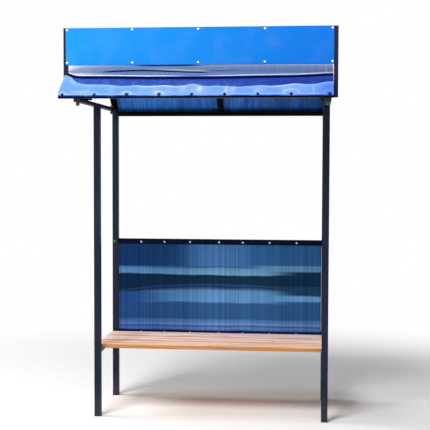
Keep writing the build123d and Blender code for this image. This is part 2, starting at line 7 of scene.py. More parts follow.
import bmesh
import bpy
import numpy as np
from mathutils import Matrix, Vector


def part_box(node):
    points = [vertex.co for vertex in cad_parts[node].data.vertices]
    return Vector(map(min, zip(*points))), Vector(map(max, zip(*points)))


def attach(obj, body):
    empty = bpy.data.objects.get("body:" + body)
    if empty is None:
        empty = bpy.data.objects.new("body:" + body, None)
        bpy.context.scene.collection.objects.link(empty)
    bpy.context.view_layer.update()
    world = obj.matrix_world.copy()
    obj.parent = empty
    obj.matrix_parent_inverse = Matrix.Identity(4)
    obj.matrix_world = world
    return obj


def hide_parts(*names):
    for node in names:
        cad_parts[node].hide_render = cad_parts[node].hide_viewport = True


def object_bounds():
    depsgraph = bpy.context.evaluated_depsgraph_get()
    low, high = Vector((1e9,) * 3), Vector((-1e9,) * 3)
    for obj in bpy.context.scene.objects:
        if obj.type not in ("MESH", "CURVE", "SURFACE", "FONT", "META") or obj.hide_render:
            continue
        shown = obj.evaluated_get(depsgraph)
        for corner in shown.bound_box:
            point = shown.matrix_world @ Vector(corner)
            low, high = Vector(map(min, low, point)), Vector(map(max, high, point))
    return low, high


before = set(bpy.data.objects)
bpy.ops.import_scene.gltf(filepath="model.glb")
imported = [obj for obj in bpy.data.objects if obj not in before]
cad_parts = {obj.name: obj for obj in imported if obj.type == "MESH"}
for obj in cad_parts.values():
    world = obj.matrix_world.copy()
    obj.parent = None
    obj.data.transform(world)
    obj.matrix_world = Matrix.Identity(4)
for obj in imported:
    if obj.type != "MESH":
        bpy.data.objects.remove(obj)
cad_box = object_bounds()

Array = np.ndarray
Node = bpy.types.Node
Socket = bpy.types.NodeSocket
Material = bpy.types.Material
Object = bpy.types.Object
Adder = Callable[..., Node]
Point = tuple[float, float, float]
Rows = tuple[tuple[float, ...], ...]
Stops = tuple[tuple[float, str], ...]

BLACK = "000000"
WHITE = "FFFFFF"
FORWARD = (0.0, -1.0, 0.0)
UPWARD = (0.0, 0.0, 1.0)

log = logging.getLogger("shelter")


# Shared helpers for colours, nodes and meshes


def linear(code: str) -> tuple[float, float, float, float]:
    """Turns an sRGB hex colour to the linear values that a shader takes.

    Args:
        code: the colour as six hex digits.

    Returns:
        Linear red, green, blue and an alpha of 1.
    """
    parts = np.array([int(code[i : i + 2], 16) for i in (0, 2, 4)]) / 255.0
    low = parts / 12.92
    high = ((parts + 0.055) / 1.055) ** 2.4
    red, green, blue = np.where(parts <= 0.04045, low, high)
    return float(red), float(green), float(blue), 1.0


def plug(socket: Socket, value: object) -> None:
    """Gives an input its value, or links it.

    Args:
        socket: the input.
        value: a value, a socket, or a node, which stands for the first output that it shows.
    """
    if isinstance(value, Node):
        value = next(output for output in value.outputs if output.enabled)
    if isinstance(value, Socket):
        socket.id_data.links.new(value, socket)
    else:
        socket.default_value = value


def add_node(
    tree: bpy.types.NodeTree,
    kind: str,
    *inputs: object,
    named: dict[str, object] | None = None,
    stops: Stops = (),
    **settings: object,
) -> Node:
    """Adds one node with its settings, its values and its links.

    Args:
        tree: the material's node tree.
        kind: the node's type.
        inputs: a value, a socket or a node for each input that the node shows, in their order.
        named: the same for inputs by name.
        stops: places and hex colours, for a node that has a colour ramp.
        settings: the node's own settings.

    Returns:
        The new node.
    """
    made = tree.nodes.new("ShaderNode" + kind)
    for name, value in settings.items():
        setattr(made, name, value)
    shown = [socket for socket in made.inputs if socket.enabled]
    for socket, value in zip(shown, inputs):
        plug(socket, value)
    for name, value in (named or {}).items():
        plug(made.inputs[name], value)
    for number, (place, code) in enumerate(stops):
        elements = made.color_ramp.elements
        stop = elements[number] if number < 2 else elements.new(place)
        stop.position = place
        stop.color = linear(code)
    return made


def emptied(block: Material | bpy.types.World) -> Adder:
    """Empties a node tree.

    Args:
        block: the material or the world that has it.

    Returns:
        The function that adds nodes to it.
    """
    block.use_nodes = True
    block.node_tree.nodes.clear()
    return partial(add_node, block.node_tree)


def grid_quads(rows: int, columns: int, wrap_rows: bool = False, wrap_columns: bool = False) -> Array:
    """Faces of a grid of points that are laid out row by row.

    Each face joins a point to the next in its row, to the one above that and
    to the one above itself. A wrapped side joins its last line to its first.

    Args:
        rows: number of rows of points.
        columns: number of points in a row.
        wrap_rows: whether the last row joins the first.
        wrap_columns: whether each row closes on itself.

    Returns:
        Point numbers, four to a face.
    """
    row = np.arange(rows if wrap_rows else rows - 1)[:, None]
    column = np.arange(columns if wrap_columns else columns - 1)[None, :]
    above = (row + 1) % rows
    beside = (column + 1) % columns
    corners = (row * columns + column, row * columns + beside, above * columns + beside, above * columns + column)
    return np.stack(corners, axis=-1).reshape(-1, 4)


def copied(quads: Array, points: int, copies: int) -> Array:
    """The same faces on each of some copies of a set of points."""
    return (quads[None] + np.arange(copies)[:, None, None] * points).reshape(-1, 4)


def unit(vectors: Array) -> Array:
    """The vectors, scaled to a length of one."""
    return vectors / np.linalg.norm(vectors, axis=-1, keepdims=True)


def looked_up(at: Array, places: Array, values: Array) -> Array:
    """Rows of values at some places along a line, between those at known places."""
    return np.stack([np.interp(at, places, column) for column in values.T], axis=1)


def bell(offset: Array, spread: float, power: float = 2) -> Array:
    """exp(-|offset / spread| to the power): 1 at no offset, and flatter on top for a higher power."""
    return np.exp(-(np.abs(offset / spread) ** power))


def rise(offset: Array, width: float) -> Array:
    """A logistic step, 1 / (1 + exp(-offset / width)), from 0 to 1."""
    return 1 / (1 + np.exp(-np.clip(offset / width, -40, 40)))


def show(name: str, data: bpy.types.ID) -> Object:
    """Makes an object at the origin and links it to the scene.

    Args:
        name: the object's name.
        data: its mesh, lamp or camera.

    Returns:
        The object.
    """
    made = bpy.data.objects.new(name, data)
    bpy.context.scene.collection.objects.link(made)
    return made


def stand(name: str, data: bpy.types.ID, place: Point, axes: tuple[Array, ...]) -> Object:
    """Makes an object at a place, turned.

    Args:
        name: the object's name.
        data: its lamp or camera.
        place: where it stands.
        axes: the ways of its own X, Y and Z.

    Returns:
        The object.
    """
    made = show(name, data)
    made.matrix_world = Matrix.Translation(place) @ Matrix(np.column_stack(axes).tolist()).to_4x4()
    return made


def make_piece(name: str, points: Array, quads: Array, sharp_over: float = 35.0) -> Object:
    """Makes a closed mesh object at the origin from points and four-cornered faces.

    Points that fall together are merged, so that poles and seams close, and
    the faces are turned outwards.

    Args:
        name: the piece's name.
        points: places in metres, one row each.
        quads: point numbers, four to a face.
        sharp_over: angle in degrees over which an edge stays sharp.

    Returns:
        The object, linked to the scene.
    """
    mesh = bpy.data.meshes.new(name)
    mesh.vertices.add(len(points))
    mesh.vertices.foreach_set("co", np.ascontiguousarray(points, dtype=np.float32).ravel())
    mesh.loops.add(quads.size)
    mesh.loops.foreach_set("vertex_index", np.ascontiguousarray(quads, dtype=np.int32).ravel())
    mesh.polygons.add(len(quads))
    mesh.polygons.foreach_set("loop_start", np.arange(0, quads.size, 4, dtype=np.int32))
    mesh.update(calc_edges=True)
    work = bmesh.new()
    work.from_mesh(mesh)
    bmesh.ops.remove_doubles(work, verts=work.verts, dist=1e-6)
    bmesh.ops.recalc_face_normals(work, faces=work.faces)
    work.to_mesh(mesh)
    work.free()
    mesh.polygons.foreach_set("use_smooth", np.ones(len(mesh.polygons), dtype=bool))
    mesh.set_sharp_from_angle(angle=math.radians(sharp_over))
    mesh.update()
    return show(name, mesh)


def settle(piece: Object, finish: Material, slot: str, *nodes: str) -> None:
    """Gives a new piece its finish and its place in the frame.

    Args:
        piece: the new object.
        finish: its material.
        slot: not used.
        nodes: the CAD nodes that the piece stands for.
    """
    piece.data.materials.append(finish)
    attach(piece, "root")
    if nodes:
        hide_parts(*nodes)
    log.info("%s: %d faces", piece.name, len(piece.data.polygons))


def dress(names: str | tuple[str, ...], finish: Material) -> None:
    """Gives CAD nodes that stay a better finish.

    Args:
        names: how the nodes' names start.
        finish: the material for all of them.
    """
    for name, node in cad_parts.items():
        if not name.startswith(names):
            continue
        if not node.material_slots:
            node.data.materials.append(finish)
        for place in node.material_slots:
            place.material = finish
        log.info("%s: %s", name, finish.name)


def span(node: str) -> tuple[Array, Array]:
    """Lowest and highest corner of a CAD node as arrays."""
    low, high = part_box(node)
    return np.array(low, dtype=float), np.array(high, dtype=float)


def heads(node: str, gap: float = 0.012) -> Array:
    """Boxes of the separate heads in a CAD node, in the order of their places.

    The node's points are parted along each axis wherever two neighbours lie
    further apart than the gap, and each part that holds points is a head.

    Args:
        node: the node's name.
        gap: the least distance between two heads, in metres.

    Returns:
        Lowest and highest corner of each head.
    """
    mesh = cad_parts[node].data
    points = np.empty(len(mesh.vertices) * 3)
    mesh.vertices.foreach_get("co", points)
    points = points.reshape(-1, 3)
    labels = np.empty(points.shape, dtype=int)
    for axis in range(3):
        order = np.argsort(points[:, axis], kind="stable")
        steps = np.diff(points[order, axis]) > gap
        labels[order, axis] = np.concatenate(([0], np.cumsum(steps)))
    kinds, group = np.unique(labels, axis=0, return_inverse=True)
    low = np.full((len(kinds), 3), np.inf)
    high = -low
    np.minimum.at(low, group.ravel(), points)
    np.maximum.at(high, group.ravel(), points)
    return np.stack((low, high), axis=1)


# Finishes


@dataclass(frozen=True)
class Pattern:
    """What a finish draws: its colour, layers over that, its relief, and how its coat varies.

    A layer is its amount and its hex colour.
    """

    colour: Node
    height: Node
    layers: tuple[tuple[Node | Socket, str], ...] = ()
    coat: Node | None = None


@dataclass(frozen=True)
class Finish:
    """A finish: the values that are the same all over its surface, and its pattern.

    Bump is how strongly its relief shows, and relief_mm how high it is.
    """

    name: str
    roughness: float = 0.5
    metallic: float = 0.0
    ior: float = 1.5
    specular: float = 0.5
    coat: float = 0.0
    coat_roughness: float = 0.1
    transmission: float = 0.0
    bump: float = 0.1
    relief_mm: float = 0.2

    def pattern(self, add: Adder, where: Socket) -> Pattern:
        """Makes the finish's pattern.

        Args:
            add: adds a node to the material.
            where: the Object coordinates.

        Returns:
            The pattern.
        """
        raise NotImplementedError

    def build(self) -> Material:
        """Makes the material: one shader with the finish's values, and its pattern.

        Returns:
            The material.
        """
        material = bpy.data.materials.new(self.name)
        add = emptied(material)
        values = {
            "Roughness": self.roughness,
            "Metallic": self.metallic,
            "IOR": self.ior,
            "Specular IOR Level": self.specular,
            "Coat Weight": self.coat,
            "Coat Roughness": self.coat_roughness,
            "Transmission Weight": self.transmission,
        }
        shader = add("BsdfPrincipled", named=values)
        add("OutputMaterial", shader)
        drawn = self.pattern(add, add("TexCoord").outputs["Object"])
        colour = drawn.colour
        for amount, code in drawn.layers:
            colour = add("Mix", amount, colour, linear(code), data_type="RGBA")
        plug(shader.inputs["Base Color"], colour)
        relief = {"Strength": self.bump, "Distance": self.relief_mm / 1000, "Height": drawn.height}
        plug(shader.inputs["Normal"], add("Bump", named=relief))
        if drawn.coat:
            plug(shader.inputs["Coat Weight"], drawn.coat)
        return material


@dataclass(frozen=True)
class Enamel(Finish):
    """Alkyd enamel sprayed over steel tube.

    It gives the eye a satin dark blue-grey with soft cloudy tone, a fine
    orange peel, a few pale nicks and a little dust that settles towards the
    feet.
    """

    name: str = "sprayed satin enamel on steel"
    roughness: float = 0.42
    specular: float = 0.12
    bump: float = 0.25
    relief_mm: float = 0.3
    tone: str = "1F2639"
    deep: str = "161C2E"
    nick: str = "6F747C"
    dust: str = "4E4B48"
    cloud_mm: float = 220.0
    nick_mm: float = 16.0
    speck_mm: float = 1000 / 90
    peel_mm: float = 3.0
    dust_height: float = 0.22
    nick_strength: float = 0.8
    dust_strength: float = 0.7

    def pattern(self, add: Adder, where: Socket) -> Pattern:
        """Clouds, then nicks, then dust in specks that thin out with height.

        Args:
            add: adds a node to the material.
            where: the Object coordinates.

        Returns:
            The pattern.
        """
        cloud = add("TexNoise", where, 1000 / self.cloud_mm, 4.0)
        colour = add("ValToRGB", cloud, stops=((0.3, self.deep), (0.68, self.tone)))
        scar = add("TexNoise", where, 1000 / self.nick_mm, 2.0)
        struck = add("MapRange", scar, 0.77, 0.8, 0.0, self.nick_strength)
        height = add("SeparateXYZ", where).outputs["Z"]
        speck = add("TexNoise", where, 1000 / self.speck_mm, 3.0)
        reach = (0.0, self.dust_height, self.dust_strength, 0.0)
        low = add("MapRange", height, *reach, interpolation_type="SMOOTHSTEP")
        settled = add("Math", low, speck, operation="MULTIPLY")
        peel = add("TexNoise", where, 1000 / self.peel_mm, 1.0)
        return Pattern(colour, peel, ((struck, self.nick), (settled, self.dust)))


@dataclass(frozen=True)
class CellularSheet(Finish):
    """Extruded twin-wall polycarbonate, tinted blue in the melt.

    It gives the eye a deep blue with fine straight flutes, each a little
    lighter or darker than its neighbours, and darker lines at the webs.
    """

    name: str = "extruded twin-wall polycarbonate"
    roughness: float = 0.3
    ior: float = 1.58
    specular: float = 0.1
    transmission: float = 0.04
    bump: float = 0.35
    relief_mm: float = 0.8
    tone: str = "2F70C6"
    deep: str = "1F54A6"
    pitch: float = 0.0115
    first: float = 0.0
    streak_mm: float = 45.0
    darkest_flute: float = 0.62
    lightest_flute: float = 1.1
    web_dark: float = 0.45

    def body(self, add: Adder, where: Socket) -> Node:
        """The sheet's tint before its flutes: long soft streaks.

        Args:
            add: adds a node to the material.
            where: the Object coordinates.

        Returns:
            The colour.
        """
        stretch = add("Mapping", where, named={"Scale": (1.0, 0.06, 0.06)})
        streak = add("TexNoise", stretch, 1000 / self.streak_mm, 4.0, 0.65)
        return add("ValToRGB", streak, stops=((0.36, self.deep), (0.66, self.tone)))

    def pattern(self, add: Adder, where: Socket) -> Pattern:
        """The tint times each flute's own shade, darker towards its webs.

        Args:
            add: adds a node to the material.
            where: the Object coordinates.

        Returns:
            The pattern.
        """
        place = add("SeparateXYZ", where).outputs["X"]
        cell = add("Math", place, 1 / self.pitch, -self.first / self.pitch, operation="MULTIPLY_ADD")
        number = add("Math", cell, operation="FLOOR")
        own = add("TexWhiteNoise", number, noise_dimensions="1D")
        across = add("Math", cell, operation="FRACT")
        aside = add("Math", across, 0.5, operation="SUBTRACT")
        off = add("Math", aside, operation="ABSOLUTE")
        web = add("MapRange", off, 0.3, 0.5, 1.0, 1 - self.web_dark)
        shade = add("MapRange", own, 0.0, 1.0, self.darkest_flute, self.lightest_flute)
        both = add("Math", shade, web, operation="MULTIPLY")
        tint = self.body(add, where)
        colour = add("Mix", 1.0, tint, both, data_type="RGBA", blend_type="MULTIPLY")
        return Pattern(colour, web)


@dataclass(frozen=True)
class ArchedSheet(CellularSheet):
    """The same sheet bent over the ribs, with the daylight coming through it painted on.

    It gives the eye a deeper blue on top, and underneath a brighter blue,
    painted as the daylight coming through it, which is stronger towards the left.
    """

    # Underside blues, painted as the daylight coming through the sheet.
    painted_light: str = "3C88F0"
    painted_low_light: str = "2C5CA4"
    centre: tuple[float, float] = (0.0, 0.0)
    middle: float = 0.8135
    left: float = -0.7
    right: float = 0.76
    cloud_mm: float = 1000 / 26

    def body(self, add: Adder, where: Socket) -> Node:
        """The top's tint where the point is outside the sheet's middle radius, else the underside's blue painted as
        the light coming through.

        Args:
            add: adds a node to the material.
            where: the Object coordinates.

        Returns:
            The colour.
        """
        top = super().body(add, where)
        parts = add("SeparateXYZ", where).outputs
        flat = add("CombineXYZ", 0.0, parts["Y"], parts["Z"])
        away = add("VectorMath", flat, (0.0, *self.centre), operation="DISTANCE")
        outside = add("MapRange", away, self.middle - 0.0004, self.middle + 0.0004, 0.0, 1.0)
        stretch = add("Mapping", where, named={"Scale": (1.0, 0.25, 0.25)})
        cloud = add("TexNoise", stretch, 1000 / self.cloud_mm, 5.0)
        # Painted light: stronger towards the left.
        side = add("MapRange", parts["X"], self.left, self.right, 0.3, -0.3)
        amount = add("Math", cloud, side, operation="ADD")
        under = add("ValToRGB", amount, stops=((0.3, self.painted_low_light), (0.75, self.painted_light)))
        return add("Mix", outside, under, top, data_type="RGBA")


@dataclass(frozen=True)
class BandedSheet(CellularSheet):
    """The same sheet upright in the panel, with level bands of painted light.

    It gives the eye long level bands of painted light and shade, light and
    dark in turn, of which the middle ones bow down at both ends, soft lighter
    and darker patches of painted light and shade, and a dark band of painted
    shade where the two bars behind its two long edges block the light. Bands
    are given by height, from 0 at the foot to 1 at the top, and a patch by its
    middle, its half sides, its soft border and its colour. Ends are tints
    across the sheet, at the places in ends_at, painted shade that darkens it
    towards both ends, most at the left.
    """

    bands: Stops = ()
    patches: tuple[tuple[float, float, float, float, float, str], ...] = ()
    specular: float = 0.02
    ends: tuple[str, str, str, str] = ("B0BED4", "D2D8DF", "CCD4DE", WHITE)
    ends_at: tuple[float, ...] = (0.0, 1.0, 0.33, 0.47)
    # Painted shade where the bars behind the sheet block the light.
    bar: str = "05102E"
    bow: float = 0.042
    low: tuple[float, float] = (0.0, 0.0)
    high: tuple[float, float] = (1.0, 1.0)
    bar_high: float = 0.0365
    bar_soft: float = 0.002
    drift_mm: float = 312.5
    drift_high: float = 0.03
    patch_soft: float = 0.009

    def body(self, add: Adder, where: Socket) -> Node:
        """The painted light bands, looked up by height, soft patches of painted light and shade on them, and painted
        shade where the bars stand behind the sheet.

        The height is raised by the bow times the square of the place across,
        most at the middle bands, and wanders a little.

        Args:
            add: adds a node to the material.
            where: the Object coordinates.

        Returns:
            The colour.
        """
        (left, foot), (right, top) = self.low, self.high
        parts = add("SeparateXYZ", where).outputs
        side = add("MapRange", parts["X"], left, right, -1.0, 1.0)
        square = add("Math", side, side, operation="MULTIPLY")
        plain = add("MapRange", parts["Z"], foot, top)
        share = add("ValToRGB", plain, stops=((0.24, BLACK), (0.63, BLACK), (0.42, WHITE), (0.52, WHITE)))
        bend = add("Math", share, self.bow, operation="MULTIPLY")
        bowed = add("Math", square, bend, parts["Z"], operation="MULTIPLY_ADD")
        stretch = add("Mapping", where, named={"Scale": (1.0, 0.2, 4.0)})
        drift = add("TexNoise", stretch, 1000 / self.drift_mm, 3.0)
        sway = add("Math", drift, self.drift_high, -self.drift_high / 2, operation="MULTIPLY_ADD")
        height = add("Math", bowed, sway, operation="ADD")
        level = add("MapRange", height, foot, top)
        colour = add("ValToRGB", level, stops=self.bands)
        for x, z, wide, tall, soft, tint in self.patches:
            away = add("VectorMath", where, (x, 0.0, z), operation="SUBTRACT")
            apart = add("SeparateXYZ", add("VectorMath", away, operation="ABSOLUTE")).outputs
            gates = [
                add("MapRange", apart[axis], half, half + fade, 1.0, 0.0, interpolation_type="SMOOTHSTEP")
                for axis, half, fade in (("X", wide, soft), ("Z", tall, self.patch_soft))
            ]
            inside = add("Math", *gates, operation="MULTIPLY")
            colour = add("Mix", inside, colour, linear(tint), data_type="RGBA")
        # Painted shade towards both ends.
        across = add("MapRange", parts["X"], left, right)
        gate = add("ValToRGB", across, stops=tuple(zip(self.ends_at, self.ends)))
        tinted = add("Mix", 1.0, colour, gate, data_type="RGBA", blend_type="MULTIPLY")
        # Painted shade where the bars behind block the light.
        over, under = (
            add("MapRange", parts["Z"], edge - self.bar_soft, edge + self.bar_soft, below, above)
            for edge, below, above in ((top - self.bar_high, 0.0, 1.0), (foot + self.bar_high, 0.75, 0.0))
        )
        behind = add("Math", over, under, operation="ADD")
        return add("Mix", behind, tinted, linear(self.bar), data_type="RGBA")


@dataclass(frozen=True)
class CoverFilm(Finish):
    """Calendered soft vinyl film, glossy, pulled tight over the front.

    It gives the eye a light blue lower band with a wavy limit, painted as the
    sky's reflection, a mottled deep blue above it with squiggles of painted
    reflection and darker towards the right as painted shade, a navy crease of
    painted shade under a fold with a painted highlight on its lip, and a greyer
    blue behind, through which the flutes of the roof sheet show as fine lines.
    The mesh says where: zone along the film, pale for painted highlights, and
    dark for painted shade in the creases and round the screws. Backed is the
    zone in which the film comes to lie on the roof sheet, and washed its coat
    from there on, which greys the blue at a low angle. Crest is its coat where
    it is pale.
    """

    name: str = "calendered glossy vinyl film"
    roughness: float = 0.24
    specular: float = 0.0
    coat: float = 0.18
    coat_roughness: float = 0.24
    bump: float = 0.5
    relief_mm: float = 1.2
    washed: float = 0.62
    crest: float = 1.0
    ripple_mm: float = 11.0
    cloud_mm: float = 85.0
    grain_mm: float = 3.0
    flute_mm: float = 11.5
    # line, light, bright and rim are painted highlights and the sky's painted reflection; upper is painted shade
    # below the fold.
    edge: str = "0A48D0"
    line: str = "9CC4FA"
    light: str = "6692E0"
    bright: str = "86ACF0"
    rim: str = "80A9F2"
    middle: str = "2A4398"
    upper: str = "1A328E"
    near: str = "2C5CA4"
    behind: str = "4892FA"
    back: str = "3672D0"
    squiggle: str = "5274C6"
    fluted: str = "123C94"
    # The next two are the painted highlight colour and the painted shade colour in the creases.
    painted_highlight: str = "F1F6FF"
    crease: str = "020A42"
    right_end_blue: str = "3A6CD0"
    painted_light_strength: float = 0.75
    squiggle_strength: float = 0.7
    right_shade_strength: float = 0.75
    flute_strength: float = 0.3
    right_end_strength: float = 0.6
    middle_band_stops: Stops = ((0.145, BLACK), (0.30, BLACK), (0.16, WHITE), (0.22, WHITE))
    backed: tuple[float, float] = (0.34, 0.37)

    def bands(self) -> Stops:
        """The film's colours by zone, from hem to back edge: its own blues, a painted highlight on the hem's rounded
        edge (line), the light band painted as the sky's reflection (light), a painted highlight at its limit (rim),
        and a darker blue painted as shade below the fold (upper).

        Returns:
            Stops for a colour ramp, its two ends first.
        """
        return (
            (0.0, self.edge), (1.0, self.back), (0.0092, self.edge), (0.0125, self.line), (0.0165, self.line),
            (0.021, self.light), (0.1, self.light), (0.143, self.rim), (0.147, self.rim), (0.153, self.middle),
            (0.24, self.middle), (0.31, self.upper), (0.336, self.upper), (0.342, self.near),
            (0.385, self.near), (0.45, self.behind),
        )

    def pattern(self, add: Adder, where: Socket) -> Pattern:
        """Zones and the layers over them, a coat that is strongest on crests, and a grain with ripple relief.

        Args:
            add: adds a node to the material.
            where: the Object coordinates.

        Returns:
            The pattern.
        """
        zone, pale, dark = (add("Attribute", attribute_name=name).outputs["Fac"] for name in ("zone", "pale", "dark"))
        colour = add("ValToRGB", zone, stops=self.bands())
        x = add("SeparateXYZ", where).outputs["X"]
        # The light band is painted as the sky's reflection, brighter in clouds where lit.
        in_light = add("MapRange", zone, 0.12, 0.15, 1.0, 0.0)
        low_half = add("ValToRGB", zone, stops=self.middle_band_stops)
        drawn = add("Mapping", where, named={"Scale": (1.0, 0.4, 0.4)})
        cloud = add("TexNoise", drawn, 1000 / self.cloud_mm, 3.0)
        painted_light = add("MapRange", cloud, 0.42, 0.68, 0.0, self.painted_light_strength)
        lit = add("Math", painted_light, in_light, operation="MULTIPLY")
        # Ripple squiggles: relief, with lighter painted reflection, in the middle band.
        wide = add("Mapping", where, named={"Scale": (0.55, 1.0, 1.0)})
        ripple = add("TexNoise", wide, 1000 / self.ripple_mm, 2.0, named={"Distortion": 1.6})
        curls = add("MapRange", ripple, 0.5, 0.64, 0.0, self.squiggle_strength)
        ripple_sheen = add("Math", curls, low_half, operation="MULTIPLY")
        # Painted shade: the middle band darker towards the right.
        aside = add("MapRange", x, 0.05, 0.5, 0.0, self.right_shade_strength)
        right_shade = add("Math", aside, low_half, operation="MULTIPLY")
        number = add("Math", x, 1000 / self.flute_mm, operation="MULTIPLY")
        own = add("TexWhiteNoise", add("Math", number, operation="FLOOR"), noise_dimensions="1D")
        shown = add("MapRange", zone, *self.backed, 0.0, self.flute_strength)
        flutes = add("Math", own, shown, operation="MULTIPLY")
        # Painted reflection weaker at the right end of the light band.
        end = add("MapRange", x, 0.66, 0.74, 0.0, self.right_end_strength, interpolation_type="SMOOTHSTEP")
        right_end_dim = add("Math", end, in_light, operation="MULTIPLY")
        # pale marks painted highlights and dark painted shade.
        layers = (
            (lit, self.bright), (ripple_sheen, self.squiggle), (right_shade, self.upper), (flutes, self.fluted),
            (right_end_dim, self.right_end_blue), (pale, self.painted_highlight), (dark, self.crease),
        )
        coated = add("MapRange", zone, *self.backed, self.coat, self.washed)
        crested = add("MapRange", pale, 0.55, 1.0, 0.0, 1.0)
        gloss = add("Mix", crested, coated, self.crest, data_type="FLOAT")
        open_air = add("MapRange", dark, 0.0, 0.8, 1.0, 0.0)
        sheltered = add("Math", gloss, open_air, operation="MULTIPLY")
        grain = add("TexNoise", where, 1000 / self.grain_mm, 2.0)
        height = add("Math", grain, 0.1, ripple_sheen, operation="MULTIPLY_ADD")
        return Pattern(colour, height, layers, sheltered)


@dataclass(frozen=True)
class SignFace(Finish):
    """Azure vinyl laminated on a flat composite board.

    It gives the eye an even, slightly glossy azure that deepens a little
    towards the right, with a very faint ripple from the lamination.
    """

    name: str = "laminated azure vinyl on composite board"
    roughness: float = 0.3
    specular: float = 0.12
    bump: float = 0.15
    relief_mm: float = 2.0
    left: str = "1E92E8"
    right: str = "0C72D8"
    haze: str = "CFE0F2"
    sides: tuple[float, float] = (-0.785, 0.775)
    haze_mm: float = 1000 / 9
    haze_strength: float = 0.04
    ripple_mm: float = 140.0

    def pattern(self, add: Adder, where: Socket) -> Pattern:
        """The azure from left to right under a faint haze, and the ripple.

        Args:
            add: adds a node to the material.
            where: the Object coordinates.

        Returns:
            The pattern.
        """
        across = add("MapRange", add("SeparateXYZ", where).outputs["X"], *self.sides)
        tone = add("ValToRGB", across, stops=((0.0, self.left), (1.0, self.right)))
        soil = add("TexNoise", where, 1000 / self.haze_mm, 5.0)
        hazy = add("MapRange", soil, 0.45, 0.75, 0.0, self.haze_strength)
        ripple = add("TexNoise", where, 1000 / self.ripple_mm)
        return Pattern(tone, ripple, ((hazy, self.haze),))


@dataclass(frozen=True)
class OiledPine(Finish):
    """Planed pine board, oiled, with its top painted paler as the sheen and light on it.

    It gives the eye deeper orange edges and a pale pinkish top, paler as
    painted sheen and light, with growth rings and long soft streaks along the
    board, each board with its own heart, a small knot, and darker lines of
    painted shade along the rounded edges where two boards meet. The
    rings are drawn 9 mm apart, because true ones of 3 mm would not show.
    """

    name: str = "planed and oiled pine"
    roughness: float = 0.48
    specular: float = 0.2
    bump: float = 0.3
    relief_mm: float = 0.4
    # early and late: the top's colours, paler as painted sheen and light.
    early: str = "FFE2CC"
    late: str = "F4BE9C"
    side_early: str = "CC8C50"
    side_late: str = "9C6030"
    streak: str = "DC946C"
    core: str = "5E3420"
    # Colour of the painted shade along the boards' rounded long edges.
    edge_shade: str = "9A6238"
    fibre: str = "D08E66"
    ring_mm: float = 9.0
    streak_mm: float = 30.0
    edge_shade_mm: float = 15.0
    fibre_mm: float = 1000 / 420
    streak_strength: float = 0.85
    edge_shade_strength: float = 0.75
    knot_strength: float = 0.85
    fibre_strength: float = 0.15
    swing: float = 0.035
    top: float = 0.447
    edges: tuple[float, float] = (0.0, 1.0)
    heart: Point = (0.0, 0.0, 0.0)
    knot: Point = (0.0, 0.0, 0.0)

    def rings(self, add: Adder, centred: Node) -> Socket:
        """The growth rings: a saw wave round the heart, bent by slow noise.

        Args:
            add: adds a node to the material.
            centred: coordinates from the heart.

        Returns:
            The place within a ring, from 0 to 1.
        """
        bend = add("Mapping", centred, named={"Scale": (1.1, 9.0, 9.0)})
        wander = add("TexNoise", bend, 1.5, 2.0).outputs["Color"]
        offset = add("VectorMath", wander, (0.5, 0.5, 0.5), operation="SUBTRACT")
        swing = add("VectorMath", offset, self.swing, operation="SCALE")
        bent = add("VectorMath", centred, swing, operation="ADD")
        shape = {"wave_type": "RINGS", "rings_direction": "X", "wave_profile": "SAW"}
        return add("TexWave", bent, math.tau / 20 / (self.ring_mm / 1000), 0.0, **shape).outputs["Fac"]

    def pattern(self, add: Adder, where: Socket) -> Pattern:
        """Rings on top and edges, then streaks, painted shade along the edges where boards meet, the knot and fine
        fibre.

        Args:
            add: adds a node to the material.
            where: the Object coordinates.

        Returns:
            The pattern.
        """
        centred = add("Mapping", where, named={"Location": tuple(-value for value in self.heart)})
        ring = self.rings(add, centred)
        # The top's paler colours are painted sheen and light.
        on_edge, painted_sheen_top = (
            add("ValToRGB", ring, stops=((0.0, early), (1.0, early), (0.5, early), (0.88, late)))
            for early, late in ((self.side_early, self.side_late), (self.early, self.late))
        )
        parts = add("SeparateXYZ", where).outputs
        on_top = add("MapRange", parts["Z"], self.top - 0.003, self.top - 0.0008, 0.0, 1.0)
        colour = add("Mix", on_top, on_edge, painted_sheen_top, data_type="RGBA")
        drawn = add("Mapping", centred, named={"Scale": (0.075, 1.0, 1.0)})
        streak = add("TexNoise", drawn, 1000 / self.streak_mm, 3.0, 0.65)
        dyed = add("MapRange", streak, 0.48, 0.62, 0.0, self.streak_strength)
        # Painted shade along both long edges of each board's top.
        middle, half = sum(self.edges) / 2, (self.edges[1] - self.edges[0]) / 2
        off = add("Math", parts["Y"], middle, operation="SUBTRACT")
        aside = add("Math", off, operation="ABSOLUTE")
        reach = (half - self.edge_shade_mm / 1000, half - 0.003, 0.0, self.edge_shade_strength)
        edge_shade_mask = add("MapRange", aside, *reach, interpolation_type="SMOOTHSTEP")
        along = add("Math", edge_shade_mask, on_top, operation="MULTIPLY")
        apart = add("VectorMath", where, self.knot, operation="SUBTRACT")
        narrow = add("VectorMath", apart, (0.6, 1.0, 1.0), operation="MULTIPLY")
        away = add("VectorMath", narrow, operation="LENGTH")
        spot = add("MapRange", away, 0.003, 0.011, self.knot_strength, 0.0)
        thin = add("Mapping", centred, named={"Scale": (0.02, 1.0, 1.0)})
        fibre = add("TexNoise", thin, 1000 / self.fibre_mm, 3.0, 0.7)
        fine = add("MapRange", fibre, 0.3, 0.7, 0.0, self.fibre_strength)
        layers = ((dyed, self.streak), (along, self.edge_shade), (spot, self.core), (fine, self.fibre))
        return Pattern(colour, fibre, layers)


